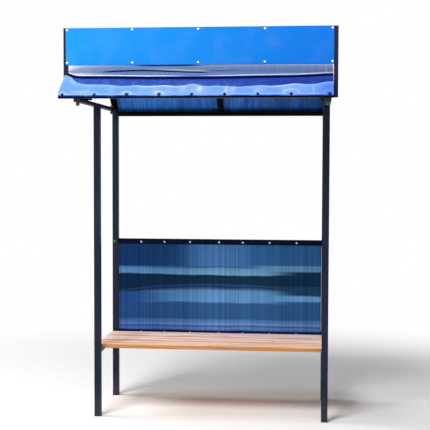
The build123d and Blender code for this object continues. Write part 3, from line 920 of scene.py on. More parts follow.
@dataclass(frozen=True)
class Moulded(Finish):
    """Injection-moulded plastic, as on caps and plugs, or pressed metal, as on screws.

    It gives the eye one clean colour with a faint cloud and a fine skin.
    """

    tone: str = "1F5C29"
    deep: str = "16451D"
    cloud_mm: float = 9.0
    skin_mm: float = 1.2

    def pattern(self, add: Adder, where: Socket) -> Pattern:
        """The cloud and the skin.

        Args:
            add: adds a node to the material.
            where: the Object coordinates.

        Returns:
            The pattern.
        """
        cloud = add("TexNoise", where, 1000 / self.cloud_mm, 2.0)
        tone = add("ValToRGB", cloud, stops=((0.35, self.deep), (0.65, self.tone)))
        skin = add("TexNoise", where, 1000 / self.skin_mm)
        return Pattern(tone, skin)


# Fasteners and welds


def frames_along(directions: Array) -> Array:
    """Two unit vectors square to each direction, and the direction itself.

    The first is the direction crossed with world X, or with world Y where it
    lies along X, and the second completes a right-handed set.

    Args:
        directions: unit vectors, one row each.

    Returns:
        One three by three set of rows for each direction.
    """
    helper = np.where(np.abs(directions[:, :1]) < 0.9, [[1.0, 0.0, 0.0]], [[0.0, 1.0, 0.0]])
    first = unit(np.cross(directions, helper))
    return np.stack((first, np.cross(directions, first), directions), axis=1)


@dataclass(frozen=True)
class Turned:
    """A small turned or moulded head, drawn by its half section.

    The section gives radius and height from the axis below to the axis on
    top, in millimetres, and is turned once round the axis.
    """

    section: Rows
    sides: int = 20

    def place(self, name: str, seats: Array, ways: Array) -> Object:
        """Makes one mesh of copies of the head.

        A point at angle a on a section point (r, h) is the seat plus r cos a
        and r sin a along the two square vectors, plus h along the way.

        Args:
            name: the piece's name.
            seats: the places of the heads' feet, in metres.
            ways: the way that each head points, or one way for all.

        Returns:
            The object.
        """
        section = np.array(self.section) / 1000.0
        angle = np.arange(self.sides) * math.tau / self.sides
        x, y = section[:, :1] * np.cos(angle), section[:, :1] * np.sin(angle)
        local = np.stack((x, y, np.repeat(section[:, 1:], self.sides, axis=1)), axis=-1).reshape(-1, 3)
        axes = frames_along(np.broadcast_to(ways, seats.shape))
        points = seats[:, None, :] + np.einsum("pk,nkj->npj", local, axes)
        quads = grid_quads(len(section), self.sides, wrap_columns=True)
        return make_piece(name, points.reshape(-1, 3), copied(quads, len(local), len(seats)), 40.0)


WASHER_HEAD = Turned(
    ((0, 0), (7.0, 0), (7.0, 0.7), (6.6, 1.2), (4.4, 1.4), (4.2, 1.6), (4.1, 2.9), (3.5, 3.9), (2.0, 4.2), (0, 4.2))
)
CAP_HEAD = Turned(((0, 0), (7.0, 0), (7.0, 0.9), (6.5, 2.1), (5.2, 3.2), (3.0, 3.8), (0, 4.0)))
SEAT_HEAD = Turned(((0, 0), (6.0, 0), (5.9, 0.5), (5.0, 1.3), (3.0, 1.9), (0, 2.0)))


def dome(radius: float, skirt: float, tall: float, foot: float = 0.0) -> Turned:
    """Half section of a domed bolt cap: a skirt and then a quarter ellipse.

    Args:
        radius: the cap's radius in millimetres.
        skirt: height of its straight wall.
        tall: height of wall and dome.
        foot: height at which the cap starts.

    Returns:
        The head to turn.
    """
    angle = np.linspace(0.0, math.pi / 2, 9)
    curve = np.stack((radius * np.cos(angle), foot + skirt + (tall - skirt) * np.sin(angle)), axis=1)
    lower = ((0.0, foot), (radius * 0.97, foot), (radius, foot + 0.6))
    return Turned(lower + tuple(map(tuple, curve.tolist())), 28)


def fasten(name: str, node: str, head: Turned, way: Point, finish: Material, slot: str) -> None:
    """Puts a finer head in the place of each head of a CAD node.

    Its foot lies in the middle of the side of the head's box that faces away
    from its way.

    Args:
        name: the piece's name.
        node: the CAD node of all the heads.
        head: the finer head.
        way: the way that the heads point, along an axis.
        finish: their material.
        slot: the record's material slot.
    """
    boxes = heads(node)
    toward = np.array(way)
    seats = np.where(toward > 0, boxes[:, 0], np.where(toward < 0, boxes[:, 1], boxes.mean(axis=1)))
    settle(head.place(name, seats, toward), finish, slot, node)


@dataclass
class WeldSeams:
    """Fillet welds round the tube joints, ground a little and painted over.

    Each seam follows a rounded rectangle round a tube's end, as a bead of
    small half-moon ripples. The joints give each tube, the axis along which
    it lies and which of its ends are welded.
    """

    bead: float = 0.0022
    inset: float = 0.0014
    lap: float = 0.0006
    ripple: float = 0.0042
    stations: int = 72
    sides: int = 6
    joints: tuple[tuple[str, int, tuple[int, ...]], ...] = (
        ("rear_beam", 0, (0, 1)),
        ("panel_top_bar", 0, (0, 1)),
        ("panel_bottom_bar", 0, (0, 1)),
        ("sign_crossbar", 0, (0, 1)),
        ("sign_bottom_bar", 0, (0, 1)),
        ("sign_top_bar", 0, (0, 1)),
        ("seat_rail_left", 1, (0, 1)),
        ("seat_rail_right", 1, (0, 1)),
        ("post_front_left", 2, (1,)),
        ("post_front_right", 2, (1,)),
    )

    def seam(self, centre: Array, halves: Array) -> Array:
        """Points of one closed bead.

        The line is the rectangle of the two half sides, walked at an even
        pace. Each station carries a ring whose radius swells by a fifth at
        every ripple.

        Args:
            centre: middle of the tube's end.
            halves: half of each side, as two vectors.

        Returns:
            Points, one ring after the other.
        """
        half_a, half_b = (half * (1 - self.inset / np.linalg.norm(half)) for half in halves)
        corners = np.array([[1, 1], [-1, 1], [-1, -1], [1, -1], [1, 1]], dtype=float)
        sides = np.array([np.linalg.norm(half_a), np.linalg.norm(half_b)] * 2) * 2
        reach = np.concatenate(([0.0], np.cumsum(sides)))
        walk = np.linspace(0.0, reach[-1], self.stations, endpoint=False)
        mix = looked_up(walk, reach, corners)
        line = centre + mix[:, :1] * half_a + mix[:, 1:] * half_b
        normal, out = unit(np.cross(half_a, half_b)), unit(line - centre)
        ring = np.arange(self.sides)[None, :, None] * math.tau / self.sides
        swell = self.bead * (1 + 0.2 * np.abs(np.sin(walk * math.pi / self.ripple)))
        offset = out[:, None, :] * np.cos(ring) + normal * np.sin(ring)
        return (line[:, None, :] + offset * swell[:, None, None]).reshape(-1, 3)

    def build(self, finish: Material) -> None:
        """Makes the seams at the tube ends that butt against another tube.

        Args:
            finish: the frame's enamel.
        """
        seams = []
        for tube, axis, ends in self.joints:
            box = span(tube)
            middle, half = (box[0] + box[1]) / 2, (box[1] - box[0]) / 2
            for end in ends:
                centre = middle.copy()
                centre[axis] = box[end][axis] + (self.lap, -self.lap)[end]
                seams.append(self.seam(centre, np.delete(np.diag(half), axis, axis=0)))
        points = np.concatenate(seams)
        points[:, 2] = np.minimum(points[:, 2], cad_box[1][2] - 0.0002)
        quads = grid_quads(self.stations, self.sides, wrap_rows=True, wrap_columns=True)
        piece = make_piece("weld_seams", points, copied(quads, len(seams[0]), len(seams)), 60.0)
        settle(piece, finish, "frame_paint")


# Sub-assemblies


@dataclass
class TubeFrame:
    """The painted tube frame, its plugs, its bolt caps and its welds."""

    tubes: tuple[str, ...] = (
        "post_", "seat_rail", "panel_top", "panel_bottom", "sign_upright", "sign_crossbar", "sign_bottom", "sign_top"
    )
    # These tubes, under the roof, get the enamel painted darker as shade.
    roof_tubes: tuple[str, ...] = ("side_rail", "front_beam", "rear_beam", "rib_", "sign_packers")
    plugs: tuple[str, ...] = ("rail_plugs", "beam_plugs", "upright_plugs")
    cap_radius: float = 11.0
    cap_skirt: float = 8.0
    bar_cap_radius: float = 13.0
    bar_cap_skirt: float = 7.0
    nut: float = 6.0
    nut_radius: float = 9.4

    def build(self, enamel: Finish, shade_painted: Finish, cap: Finish, ends: Finish) -> None:
        """Dresses the tubes and makes the caps and welds.

        Args:
            enamel: the frame's paint.
            shade_painted: the same paint, painted darker as shade, for the tubes under the roof.
            cap: the domed caps' plastic.
            ends: the end plugs' plastic.
        """
        paint = enamel.build()
        dress(self.tubes, paint)
        dress(self.roof_tubes, shade_painted.build())
        dress(self.plugs, ends.build())
        WeldSeams().build(paint)
        self.caps(cap.build())

    def caps(self, plastic: Material) -> None:
        """Makes the caps under and on the rails, and those on the rear posts.

        Args:
            plastic: the caps' material.
        """
        boxes = heads("rail_bolts")
        middles, (floor, lid) = boxes.mean(axis=1), span("side_rail_left")
        hung = middles[:, 2] < floor[2]
        under, over = (
            np.column_stack((middles[kept, :2], np.full(kept.sum(), face[2])))
            for kept, face in ((hung, floor), (~hung, lid))
        )
        tall = 1000 * float((boxes[~hung, 1, 2] - lid[2]).max())
        round_cap = partial(dome, self.cap_radius, self.cap_skirt, tall)
        top, edge = self.nut + 0.2, self.nut_radius
        nuts = Turned(((0, 0), (edge, 0), (edge, top), (0, top)), 6)
        for name, head, seats, up in (
            ("rail_caps_under", round_cap(self.nut), under, -1.0),
            ("rail_nuts", nuts, under, -1.0),
            ("rail_caps_over", round_cap(), over, 1.0),
        ):
            settle(head.place(name, seats, np.array([0.0, 0.0, up])), plastic, "green_caps", "rail_bolts")
        tall = 1000 * float(np.ptp(heads("bar_bolts")[:, :, 1], axis=1).max())
        shape = dome(self.bar_cap_radius, self.bar_cap_skirt, tall)
        fasten("bar_caps", "bar_bolts", shape, FORWARD, plastic, "green_caps")


@dataclass(frozen=True)
class CellularPlate:
    """A twin-wall sheet: two skins joined by webs, with open flutes between.

    Flutes are drawn wider than the real 6 mm, so that they still show.
    """

    flute: float = 0.0115
    skin: float = 0.0006
    web: float = 0.0007
    swell: float = 0.00022

    def pitch(self, width: float) -> tuple[int, float]:
        """Number of flutes across the sheet, and the distance from web to web."""
        count = round((width - self.web) / self.flute)
        return count, (width - self.web) / count

    def lines(self, width: float) -> tuple[Array, int]:
        """Places of the lines across the sheet: two to a web and one between.

        Args:
            width: the sheet's width in metres.

        Returns:
            The lines' places from the left edge, and the number of flutes.
        """
        count, pitch = self.pitch(width)
        start = np.arange(count) * pitch
        inner = np.stack((start, start + self.web, start + (pitch + self.web) / 2), axis=1).ravel()
        return np.concatenate((inner, [width - self.web, width])), count

    def quads(self, stations: int, count: int) -> Array:
        """Faces of the skins, the webs and the cut ends.

        Points run station by station, line by line, and four to a line
        through the thickness: outer skin, its inner face, and the same two
        for the other skin.

        Args:
            stations: number of stations along the flutes.
            count: number of flutes.

        Returns:
            Point numbers, four to a face.
        """
        lines = 3 * count + 2
        step = lines * 4
        station = (np.arange(stations - 1) * step)[:, None]
        every = np.arange(lines - 1)
        cell, solid = every[every % 3 != 0], every[every % 3 == 0]

        def along(line: Array, layer: int, aside: int) -> Array:
            """Faces along the flutes, from a line on a layer to the point that lies aside."""
            a = station + line[None, :] * 4 + layer
            return np.stack((a, a + aside, a + aside + step, a + step), axis=-1).reshape(-1, 4)

        def cut(line: Array, layer: int) -> Array:
            """Faces across the two cut ends, on a layer."""
            near = (line * 4 + layer)[:, None] + [0, 4, 5, 1]
            return np.concatenate((near, near + step * (stations - 1)))

        edges = np.array([0, lines - 1])
        webs = np.concatenate((solid[:-1] + 1, solid[1:]))
        skins = ((every, 0, 4), (every, 3, 4), (cell, 1, 4), (cell, 2, 4), (webs, 1, 1))
        walls = tuple((edges, layer, 1) for layer in (0, 1, 2))
        ends = [cut(every, 0), cut(every, 2), cut(solid, 1)]
        return np.concatenate([along(*faces) for faces in skins + walls] + ends)

    def bulge(self, count: int) -> Array:
        """How far each line's outer faces stand proud: only between webs.

        Args:
            count: number of flutes.

        Returns:
            The distance at each line.
        """
        proud = np.zeros(3 * count + 2)
        proud[2::3] = self.swell
        proud[-2:] = 0.0
        return proud


@dataclass(frozen=True)
class Arch:
    """The roof's arch in the YZ plane: its centre and the ribs' outer radius."""

    y: float
    z: float
    rib: float = 0.81123

    @classmethod
    def found(cls) -> "Arch":
        """Finds the centre from the ribs' crown and the sheet's rear foot.

        Returns:
            The arch.
        """
        z = float(span("rib_left")[1][2]) - cls.rib
        low, high = span("roof_sheet")
        outer = float(high[2]) - z
        return cls(float(high[1]) - math.sqrt(outer**2 - (float(low[2]) - z) ** 2), z)

    def point(self, radius: Array, turn: Array) -> Array:
        """Points at a radius and an angle behind the crown, as Y and Z."""
        return np.stack((self.y + radius * np.sin(turn), self.z + radius * np.cos(turn)), axis=-1)


@dataclass
class Roof:
    """The arched cellular sheet and the screws that hold it to the ribs."""

    thick: float = 0.004
    stations: int = 40
    screw_foot: float = 0.0021

    def build(self, sheet: Finish, zinc: Finish) -> None:
        """Makes the sheet and its screws.

        A point at turn t from the crown and radius r lies r sin t behind the
        arch's middle and r cos t over it.

        Args:
            sheet: the sheet's plastic.
            zinc: the screws' plating.
        """
        arch = Arch.found()
        low, high = span("roof_sheet")
        outer = float(high[2]) - arch.z
        inner = outer - self.thick
        plate = CellularPlate()
        across, count = plate.lines(high[0] - low[0])
        radii = np.array([outer, outer - plate.skin, inner + plate.skin, inner])
        radius = radii + plate.bulge(count)[:, None] * [-1.0, 0.0, 0.0, 0.0]
        front = -np.arccos((span("front_beam")[1][2] + 0.0003 - arch.z) / radius)
        back = np.arccos((low[2] - arch.z) / radius)
        turn = front + (back - front) * np.linspace(0.0, 1.0, self.stations)[:, None, None]
        x = np.broadcast_to((low[0] + across)[None, :, None], turn.shape)
        points = np.concatenate((x[..., None], arch.point(radius, turn)), axis=-1)
        piece = make_piece("roof_cellular_sheet", points.reshape(-1, 3), plate.quads(self.stations, count))
        settle(piece, sheet.build(), "roof_plastic", "roof_sheet")
        middles = heads("roof_screws").mean(axis=1)
        away = unit(middles[:, 1:] - (arch.y, arch.z))
        ways = np.column_stack((np.zeros(len(away)), away))
        screws = WASHER_HEAD.place("roof_screw_heads", middles - ways * self.screw_foot, ways)
        settle(screws, zinc.build(), "zinc_screws", "roof_screws")


@dataclass(frozen=True)
class Wavy:
    """A line across the film: its level, and soft swells at places along X.

    Each swell is its place, its rise and its spread, in metres.
    """

    level: float
    swells: Rows = ()

    def at(self, across: Array) -> Array:
        """The level plus each swell's rise times the bell of the distance from its place.

        Args:
            across: places along X.

        Returns:
            The line's place along the film.
        """
        line = np.full_like(across, self.level)
        for place, height, spread in self.swells:
            line += height * bell(across - place, spread)
        return line


@dataclass(frozen=True)
class Ruck:
    """A ruck in the film: a steep front, a long back, a lip with a painted highlight and a crease with painted shade.

    Widths are in metres along the film. Lip and crease say how strongly each
    is marked, the lip from place to place. Soft shapes the crease's edges:
    3 is firm and 1 is soft.
    """

    line: Wavy
    high: float
    front: float
    back: float
    crease: float
    crease_wide: float
    lip: Wavy = Wavy(0.0)
    lip_wide: float = 0.01
    lip_from: float = 0.8
    crease_from: float = 1.0
    soft: float = 3.0
    left: float = -2.0
    right: float = 2.0
    ends: float = 0.012

    def shape(self, across: Array, along: Array) -> tuple[Array, Array, Array]:
        """The ruck's height, the painted highlight on its lip and the painted shade in its crease, at each point.

        With d the distance behind the line, the height is a logistic step of
        d over the front, times a bell of d over the back. The lip is a flat bell
        on the step and over its top, and the crease one just in front of it.
        All fade out past the ruck's two ends.

        Args:
            across: each point's place along X.
            along: distance along the film.

        Returns:
            Height in metres, and the lip's painted highlight and the crease's painted shade from 0 to 1.
        """
        behind = along - self.line.at(across)
        fade = rise(across - self.left, self.ends) * rise(self.right - across, self.ends)
        lift = self.high * rise(behind, self.front) * bell(np.maximum(behind, 0), self.back)
        lip = self.lip.at(across) * bell(behind / self.lip_wide - self.lip_from, 1, 4)
        crease = self.crease * bell(behind / self.crease_wide + self.crease_from, 1, 2 * self.soft)
        return lift * fade, lip * fade, crease * fade


@dataclass(frozen=True)
class Pull:
    """How one screw pulls the film: a raised ring with a painted highlight, painted shade inside it, and raised rays
    above it with painted highlights.
    """

    ring: float
    pale: float
    inside: float = 0.0
    rays: float = 0.0


@dataclass
class Apron:
    """The film over the roof's front: hem, slope, rolled fold and back part.

    A glint is given by its place along X and along the film, its spread both
    ways and its strength. Stops and steps say how many rows of points lie
    between two places along the film.
    """

    inner: float = 0.81583
    thick: float = 0.0013
    back_reach: float = 0.05
    columns: int = 280
    screw_rise: float = 0.009
    seed: int = 7
    stops: tuple[float, ...] = (0.0, 0.03, 0.145, 0.195, 0.265, 0.33, 0.415, 0.445)
    steps: tuple[int, ...] = (22, 24, 14, 42, 20, 10, 16, 10)
    clear_ahead: float = 0.003
    clear_behind: float = 0.007
    clear_beside: float = 0.002
    ring_high: float = 0.0024
    ring_wide: float = 0.007
    ray_high: float = 0.0026
    ray_long: float = 0.06
    sag: float = 0.0012
    wave_high: float = 0.0014
    slope_high: float = 0.0008
    shoulder: float = 0.010
    hem: float = 0.04
    seam: float = 0.147
    top: float = 0.338
    # Where the light band, painted as the sky's reflection, ends.
    limit: Wavy = Wavy(
        0.092,
        (
            (-0.80, 0.087, 0.12), (-0.765, 0.055, 0.035), (-0.56, 0.018, 0.09), (-0.365, 0.010, 0.04),
            (-0.19, 0.009, 0.035), (-0.022, 0.027, 0.034), (0.45, -0.005, 0.32), (0.23, -0.011, 0.06),
            (0.355, 0.010, 0.035), (0.56, 0.021, 0.08), (0.78, 0.046, 0.12),
        ),
    )
    fold: Ruck = Ruck(
        Wavy(0.2175, ((-0.02, -0.014, 0.34), (0.80, 0.022, 0.16), (-0.80, 0.030, 0.06), (-0.34, -0.004, 0.12))),
        high=0.006, front=0.0008, back=0.02, crease=1.0, crease_wide=0.0165,
        lip=Wavy(1.0, ((-0.03, -0.8, 0.12), (0.84, -0.5, 0.12))), lip_wide=0.0042,
    )
    second: Ruck = Ruck(
        Wavy(0.272, ((-0.36, 0.0415, 0.24),)),
        high=0.004, front=0.001, back=0.016, crease=1.0, crease_wide=0.009,
        lip=Wavy(0.0, ((-0.10, 1.1, 0.16),)), lip_wide=0.022, left=-0.56, right=0.04,
    )
    third: Ruck = Ruck(
        Wavy(0.430),
        high=0.006, front=0.001, back=0.03, crease=1.0, crease_wide=0.005, crease_from=0.5, soft=2.0,
        left=-0.40, right=-0.03, ends=0.03,
    )
    fourth: Ruck = Ruck(
        Wavy(0.302, ((0.2, 0.012, 0.08),)),
        high=0.002, front=0.001, back=0.012, crease=0.6, crease_wide=0.006,
        lip=Wavy(0.0, ((0.11, 0.5, 0.07),)), lip_wide=0.006, left=0.05, right=0.20,
    )
    pulls: tuple[Pull, ...] = (
        Pull(0.015, 0.30),
        Pull(0.016, 0.18),
        Pull(0.024, 0.50, 0.2),
        Pull(0.023, 0.55, 0.2),
        Pull(0.018, 0.05, 0.0, 0.22),
        Pull(0.016, 0.10, 0.0, 0.15),
        Pull(0.016, 0.12, 0.0, 0.1),
        Pull(0.042, 0.30, 0.35, 0.1),
        Pull(0.030, 0.10, 0.3),
    )
    # Glints: painted highlights.
    glints: Rows = (
        (0.018, 0.058, 0.016, 0.034, 0.38),
        (0.355, 0.050, 0.030, 0.022, 0.12),
        (-0.075, 0.060, 0.020, 0.030, 0.2),
        (0.170, 0.055, 0.007, 0.034, 0.35),
        (0.206, 0.050, 0.016, 0.030, 0.25),
        (0.660, 0.060, 0.006, 0.040, 0.25),
        (-0.660, 0.030, 0.050, 0.014, 0.2),
    )

    def build(self, film: Finish, screw: Finish) -> None:
        """Makes the film and its screws.

        Args:
            film: the film's finish.
            screw: the dark screws' paint.
        """
        low, high = span("front_cover")
        rows, line, out = self.section(low)
        seats = heads("cover_screws").mean(axis=1)
        (near, far), side = self.notch()
        start = np.where((line[:, 0] > near) & (line[:, 0] < far), side, low[0])
        across = start[:, None] + (high[0] - start)[:, None] * np.linspace(0.0, 1.0, self.columns)
        lift, marks = self.relief(across, rows, seats[:, 0])
        skin, under = (line[:, None, :] + out[:, None, :] * off[..., None] for off in (self.thick + lift, lift))
        outer, inner = (np.concatenate((across[..., None], side), axis=-1) for side in (skin, under))
        points = np.concatenate((outer, inner[::-1])).reshape(-1, 3)
        count = len(rows)
        pair = np.arange(count - 1)
        other = 2 * count - 1 - pair
        ends = np.stack((pair, pair + 1, other - 1, other), axis=-1) * self.columns
        quads = (grid_quads(2 * count, self.columns, wrap_rows=True), ends, ends + self.columns - 1)
        piece = make_piece("front_film", points, np.concatenate(quads), 50.0)
        mesh = piece.data
        for name, values in marks.items():
            both = np.concatenate((values, values[::-1])).ravel()
            if len(mesh.vertices) != len(both):
                raise ValueError("the film's points changed when doubles were merged")
            mesh.attributes.new(name, "FLOAT", "POINT").data.foreach_set("value", both.astype(np.float32))
        settle(piece, film.build(), "cover_film", "front_cover")
        seats[:, 1] = low[1] + 0.0007
        screws = WASHER_HEAD.place("film_screw_heads", seats, np.array(FORWARD))
        settle(screws, screw.build(), "dark_screws", "cover_screws")

    def notch(self) -> tuple[list[float], float]:
        """Where the notch for the sign's upright starts and ends along Y, and its side along X."""
        low, high = span("sign_upright_left")
        return [low[1] - self.clear_ahead, high[1] + self.clear_behind], high[0] + self.clear_beside

    def section(self, low: Array) -> tuple[Array, Array, Array]:
        """The film's inner line in the YZ plane, from the hem up to its back edge.

        It goes straight up the beam's face, rounds the corner, runs straight
        to the arch, which it meets at a tangent, and follows the arch. The
        bends are softened by averaging each point with its neighbours. Two
        close rows stand at each edge of the notch for the sign's upright.

        Args:
            low: lowest corner of the CAD film.

        Returns:
            Distance along the line, its points, and its outward normals.
        """
        arch = Arch.found()
        corner = np.array([low[1] + 0.002, span("front_beam")[1][2]])
        ahead = corner - (arch.y, arch.z)
        leave = math.atan2(*ahead) + math.acos(self.inner / math.hypot(*ahead))
        arc = arch.point(self.inner, np.linspace(leave, self.back_reach / self.inner, 400))
        hem = np.stack((np.full(20, corner[0]), np.linspace(low[2], corner[1], 20)), axis=1)
        line = np.concatenate((hem, np.linspace(corner, arc[0], 60)[1:-1], arc))
        run = np.concatenate(([0.0], np.cumsum(np.linalg.norm(np.diff(line, axis=0), axis=1))))
        fine = np.linspace(0.0, run[-1], 1400)
        width = 9
        dense = np.pad(looked_up(fine, run, line), ((width // 2,) * 2, (0, 0)), mode="edge")
        kernel = np.ones(width) / width
        smooth = np.stack([np.convolve(column, kernel, mode="valid") for column in dense.T], axis=1)
        edges = np.interp(self.notch()[0], smooth[:, 0], fine)
        stops = (*self.stops, float(run[-1]))
        parts = [np.linspace(a, b, n, endpoint=False) for a, b, n in zip(stops, stops[1:], self.steps)]
        close = (edges[:, None] + [-0.0001, 0.0001]).ravel()
        rows = np.unique(np.concatenate(parts + [close, run[-1:]]).round(7))
        slope = unit(np.gradient(smooth, fine, axis=0))
        out = slope[:, ::-1] * [-1.0, 1.0]
        return rows, looked_up(rows, fine, smooth), unit(looked_up(rows, fine, out))

    def pulled(self, across: Array, along: Array, screws: Array) -> tuple[Array, Array, Array]:
        """What the screws do to the film: a raised ring over each and rays above it, both with painted highlights,
        and painted shade inside the ring and round each head.

        Args:
            across: each point's place along X.
            along: distance along the film.
            screws: the screws' places along X.

        Returns:
            Height in metres, and the pale mark of painted highlight and the dark mark of painted shade.
        """
        lift, pale, dark = (np.zeros_like(across) for _ in range(3))
        for place, pull in zip(screws, self.pulls):
            aside, over = across - place, along - self.screw_rise
            reach = np.hypot(aside, over)
            upper = rise(over, 0.002)
            ring = bell(reach - pull.ring, self.ring_wide) * upper * (0.75 - 0.25 * np.sin(3 * aside / pull.ring))
            angle = np.arctan2(aside, np.maximum(over, 1e-4))
            rays = (0.55 + 0.45 * np.cos(angle * 9 + 0.7)) * bell(reach, self.ray_long)
            rays *= upper * (1 - bell(reach, 0.012)) * bell(angle, 0.8, 4)
            # pale is painted highlight on rings and rays; dark is painted shade inside the ring and round each head.
            pale += pull.pale * ring + pull.rays * rays
            dark += pull.inside * 0.55 * bell(reach, 0.7 * pull.ring) + 0.7 * bell(reach, 0.0095, 6)
            lift += self.ring_high * (0.4 + pull.pale) * ring + self.ray_high * pull.rays * rays
        return lift, pale, dark

    def waves(self, across: Array, along: Array) -> Array:
        """Five slow sine waves across the slope, each with its own length, phase and tilt.

        Args:
            across: each point's place along X.
            along: distance along the film.

        Returns:
            Their mean, from -1 to 1.
        """
        chance = np.random.default_rng(self.seed)
        waves = np.zeros_like(across)
        for number in range(5):
            length = 0.09 + 0.06 * number
            phase, tilt = chance.uniform(0, math.tau), chance.uniform(-1.5, 1.5)
            waves += np.sin(across / length * math.tau + phase + tilt * along / 0.05) / 5
        return waves

    def zone(self, along: Array, limit: Array, fold: Array) -> Array:
        """The distance along the film, warped so that its limit and its fold keep their values.

        Args:
            along: distance along the film.
            limit: where the light band ends.
            fold: where the fold's line lies.

        Returns:
            The zone: 0 at the hem, seam at the limit, top at the fold and 1 at the back.
        """
        total, hem, seam, top = along.max(), self.hem, self.seam, self.top
        lower = hem / total + (along - hem) / (limit - hem) * (seam - hem / total)
        middle = seam + (along - limit) / (fold - limit) * (top - seam)
        upper = top + (along - fold) / (total - fold) * (1 - top)
        zone = np.where(along < limit, lower, np.where(along < fold, middle, upper))
        return np.where(along < hem, along / total, zone)

    def relief(self, across: Array, rows: Array, screws: Array) -> tuple[Array, dict[str, Array]]:
        """How far the film stands off its taut line, and how it is marked.

        The film is drawn in at each screw inside a raised ring, sags out
        softly between them, has slow waves on the slope, rises beside the
        sign's upright, and rolls over in four rucks. It is painted paler: as
        highlights at glints, at parts of its light band's limit, on the rings and
        rays round the screws and on the rucks' lips, as the sky's reflection behind
        the fold on the left, and along a line by its right end. It is painted
        darker as shade in the creases and round the screws.

        Args:
            across: each point's place along X.
            rows: distance along the film of each row.
            screws: the screws' places along X.

        Returns:
            The distance off the line, and the marks zone, pale for painted highlight and dark for painted shade.
        """
        along = np.broadcast_to(rows[:, None], across.shape)
        lift, pale, dark = self.pulled(across, along, screws)
        # Glints: painted highlights.
        for place, up, wide, tall, strength in self.glints:
            pale += strength * bell(across - place, wide) * bell(along - up, tall)
        gap = np.abs(across[..., None] - screws).min(axis=-1)
        lift += self.sag * (1 - bell(gap, 0.035)) * bell(along - 0.012, 0.03)
        waves = self.waves(across, along)
        lift += (self.wave_high * waves + self.slope_high) * bell(along - 0.085, 0.045)
        lift += self.shoulder * bell(across + 0.785, 0.035) * bell(along - 0.225, 0.04)
        for ruck in (self.fold, self.second, self.third, self.fourth):
            marks = ruck.shape(across, along)
            lift, pale, dark = lift + marks[0], pale + marks[1], dark + marks[2]
        fold = self.fold.line.at(across)
        limit = self.limit.at(across) + 0.003 * waves
        # Painted highlight along parts of the light band's limit.
        some = 0.6 * bell(across + 0.2, 0.14, 4) + 0.5 * bell(across - 0.5, 0.1, 4)
        pale += bell(along - limit + 0.005, 0.0045) * some
        pale += 0.35 * bell(across - 0.731, 0.004) * (along > 0.25)
        # Painted reflection behind the fold on the left.
        pale += 0.5 * bell(across + 0.76, 0.15) * (along > fold) * rise(0.47 - along, 0.02)
        zone = self.zone(along, limit, fold)
        marks = {"zone": zone, "pale": pale * (1 - 0.8 * np.clip(dark, 0, 1)), "dark": dark}
        return np.maximum(lift, 0.0), {name: np.clip(value, 0.0, 1.0) for name, value in marks.items()}


@dataclass
class Sign:
    """The bare azure sign board and its white screw caps."""

    def build(self, face: Finish, cap: Finish) -> None:
        """Dresses the board and makes the caps."""
        dress("sign_board", face.build())
        fasten("sign_cap_heads", "sign_screws", CAP_HEAD, FORWARD, cap.build(), "white_caps")


@dataclass
class BackPanel:
    """The upright cellular sheet between the rear posts, and its screws."""

    stations: int = 9
    plate: CellularPlate = CellularPlate(skin=0.0008, web=0.0008, swell=0.0003)

    def build(self, sheet: Finish, zinc: Finish) -> None:
        """Makes the sheet and its screws.

        Args:
            sheet: the sheet's plastic.
            zinc: the screws' plating.
        """
        low, high = span("back_panel")
        plate = self.plate
        across, count = plate.lines(high[0] - low[0])
        proud = plate.bulge(count)
        depths = np.array([low[1], low[1] + plate.skin, high[1] - plate.skin, high[1]])
        y = depths + (proud.max() - proud)[:, None] * [1.0, 0.0, 0.0, -1.0]
        z = np.linspace(low[2], high[2], self.stations)[:, None, None]
        x = (low[0] + across)[None, :, None]
        points = np.stack(np.broadcast_arrays(x, y[None], z), axis=-1)
        piece = make_piece("back_cellular_sheet", points.reshape(-1, 3), plate.quads(self.stations, count))
        settle(piece, sheet.build(), "panel_plastic", "back_panel")
        fasten("panel_screw_heads", "panel_screws", WASHER_HEAD, FORWARD, zinc.build(), "zinc_screws")


@dataclass
class Seat:
    """The three pine boards, each with its own heart, and their screws."""

    boards: tuple[str, ...] = ("front", "middle", "rear")
    hearts: Rows = ((0.035, -0.075), (-0.05, -0.11), (0.02, 0.13))
    knots: Rows = ((0.02, 0.03, 0.447), (0.41, 0.23, 0.447), (-0.35, 0.47, 0.447))
    # Each board's top colours, paler as painted sheen and light.
    tints: tuple[tuple[str, str], ...] = (("FFDDBC", "F2B88C"), ("FFE4D4", "F6C2A4"), ("FFE8DC", "F6C6B0"))

    def build(self, wood: type[OiledPine], zinc: Finish) -> None:
        """Dresses the boards and makes the screws.

        Args:
            wood: the boards' kind of finish.
            zinc: the screws' plating.
        """
        for name, (aside, below), knot, (early, late) in zip(self.boards, self.hearts, self.knots, self.tints):
            low, high = span(f"seat_board_{name}")
            middle = (low + high) / 2
            finish = wood(
                name=f"planed and oiled pine {name}",
                heart=tuple(middle + (0.0, aside, below)),
                knot=knot,
                top=high[2],
                edges=(low[1], high[1]),
                early=early,
                late=late,
            )
            dress(f"seat_board_{name}", finish.build())
        fasten("seat_screw_heads", "seat_screws", SEAT_HEAD, UPWARD, zinc.build(), "zinc_screws")


# Stage


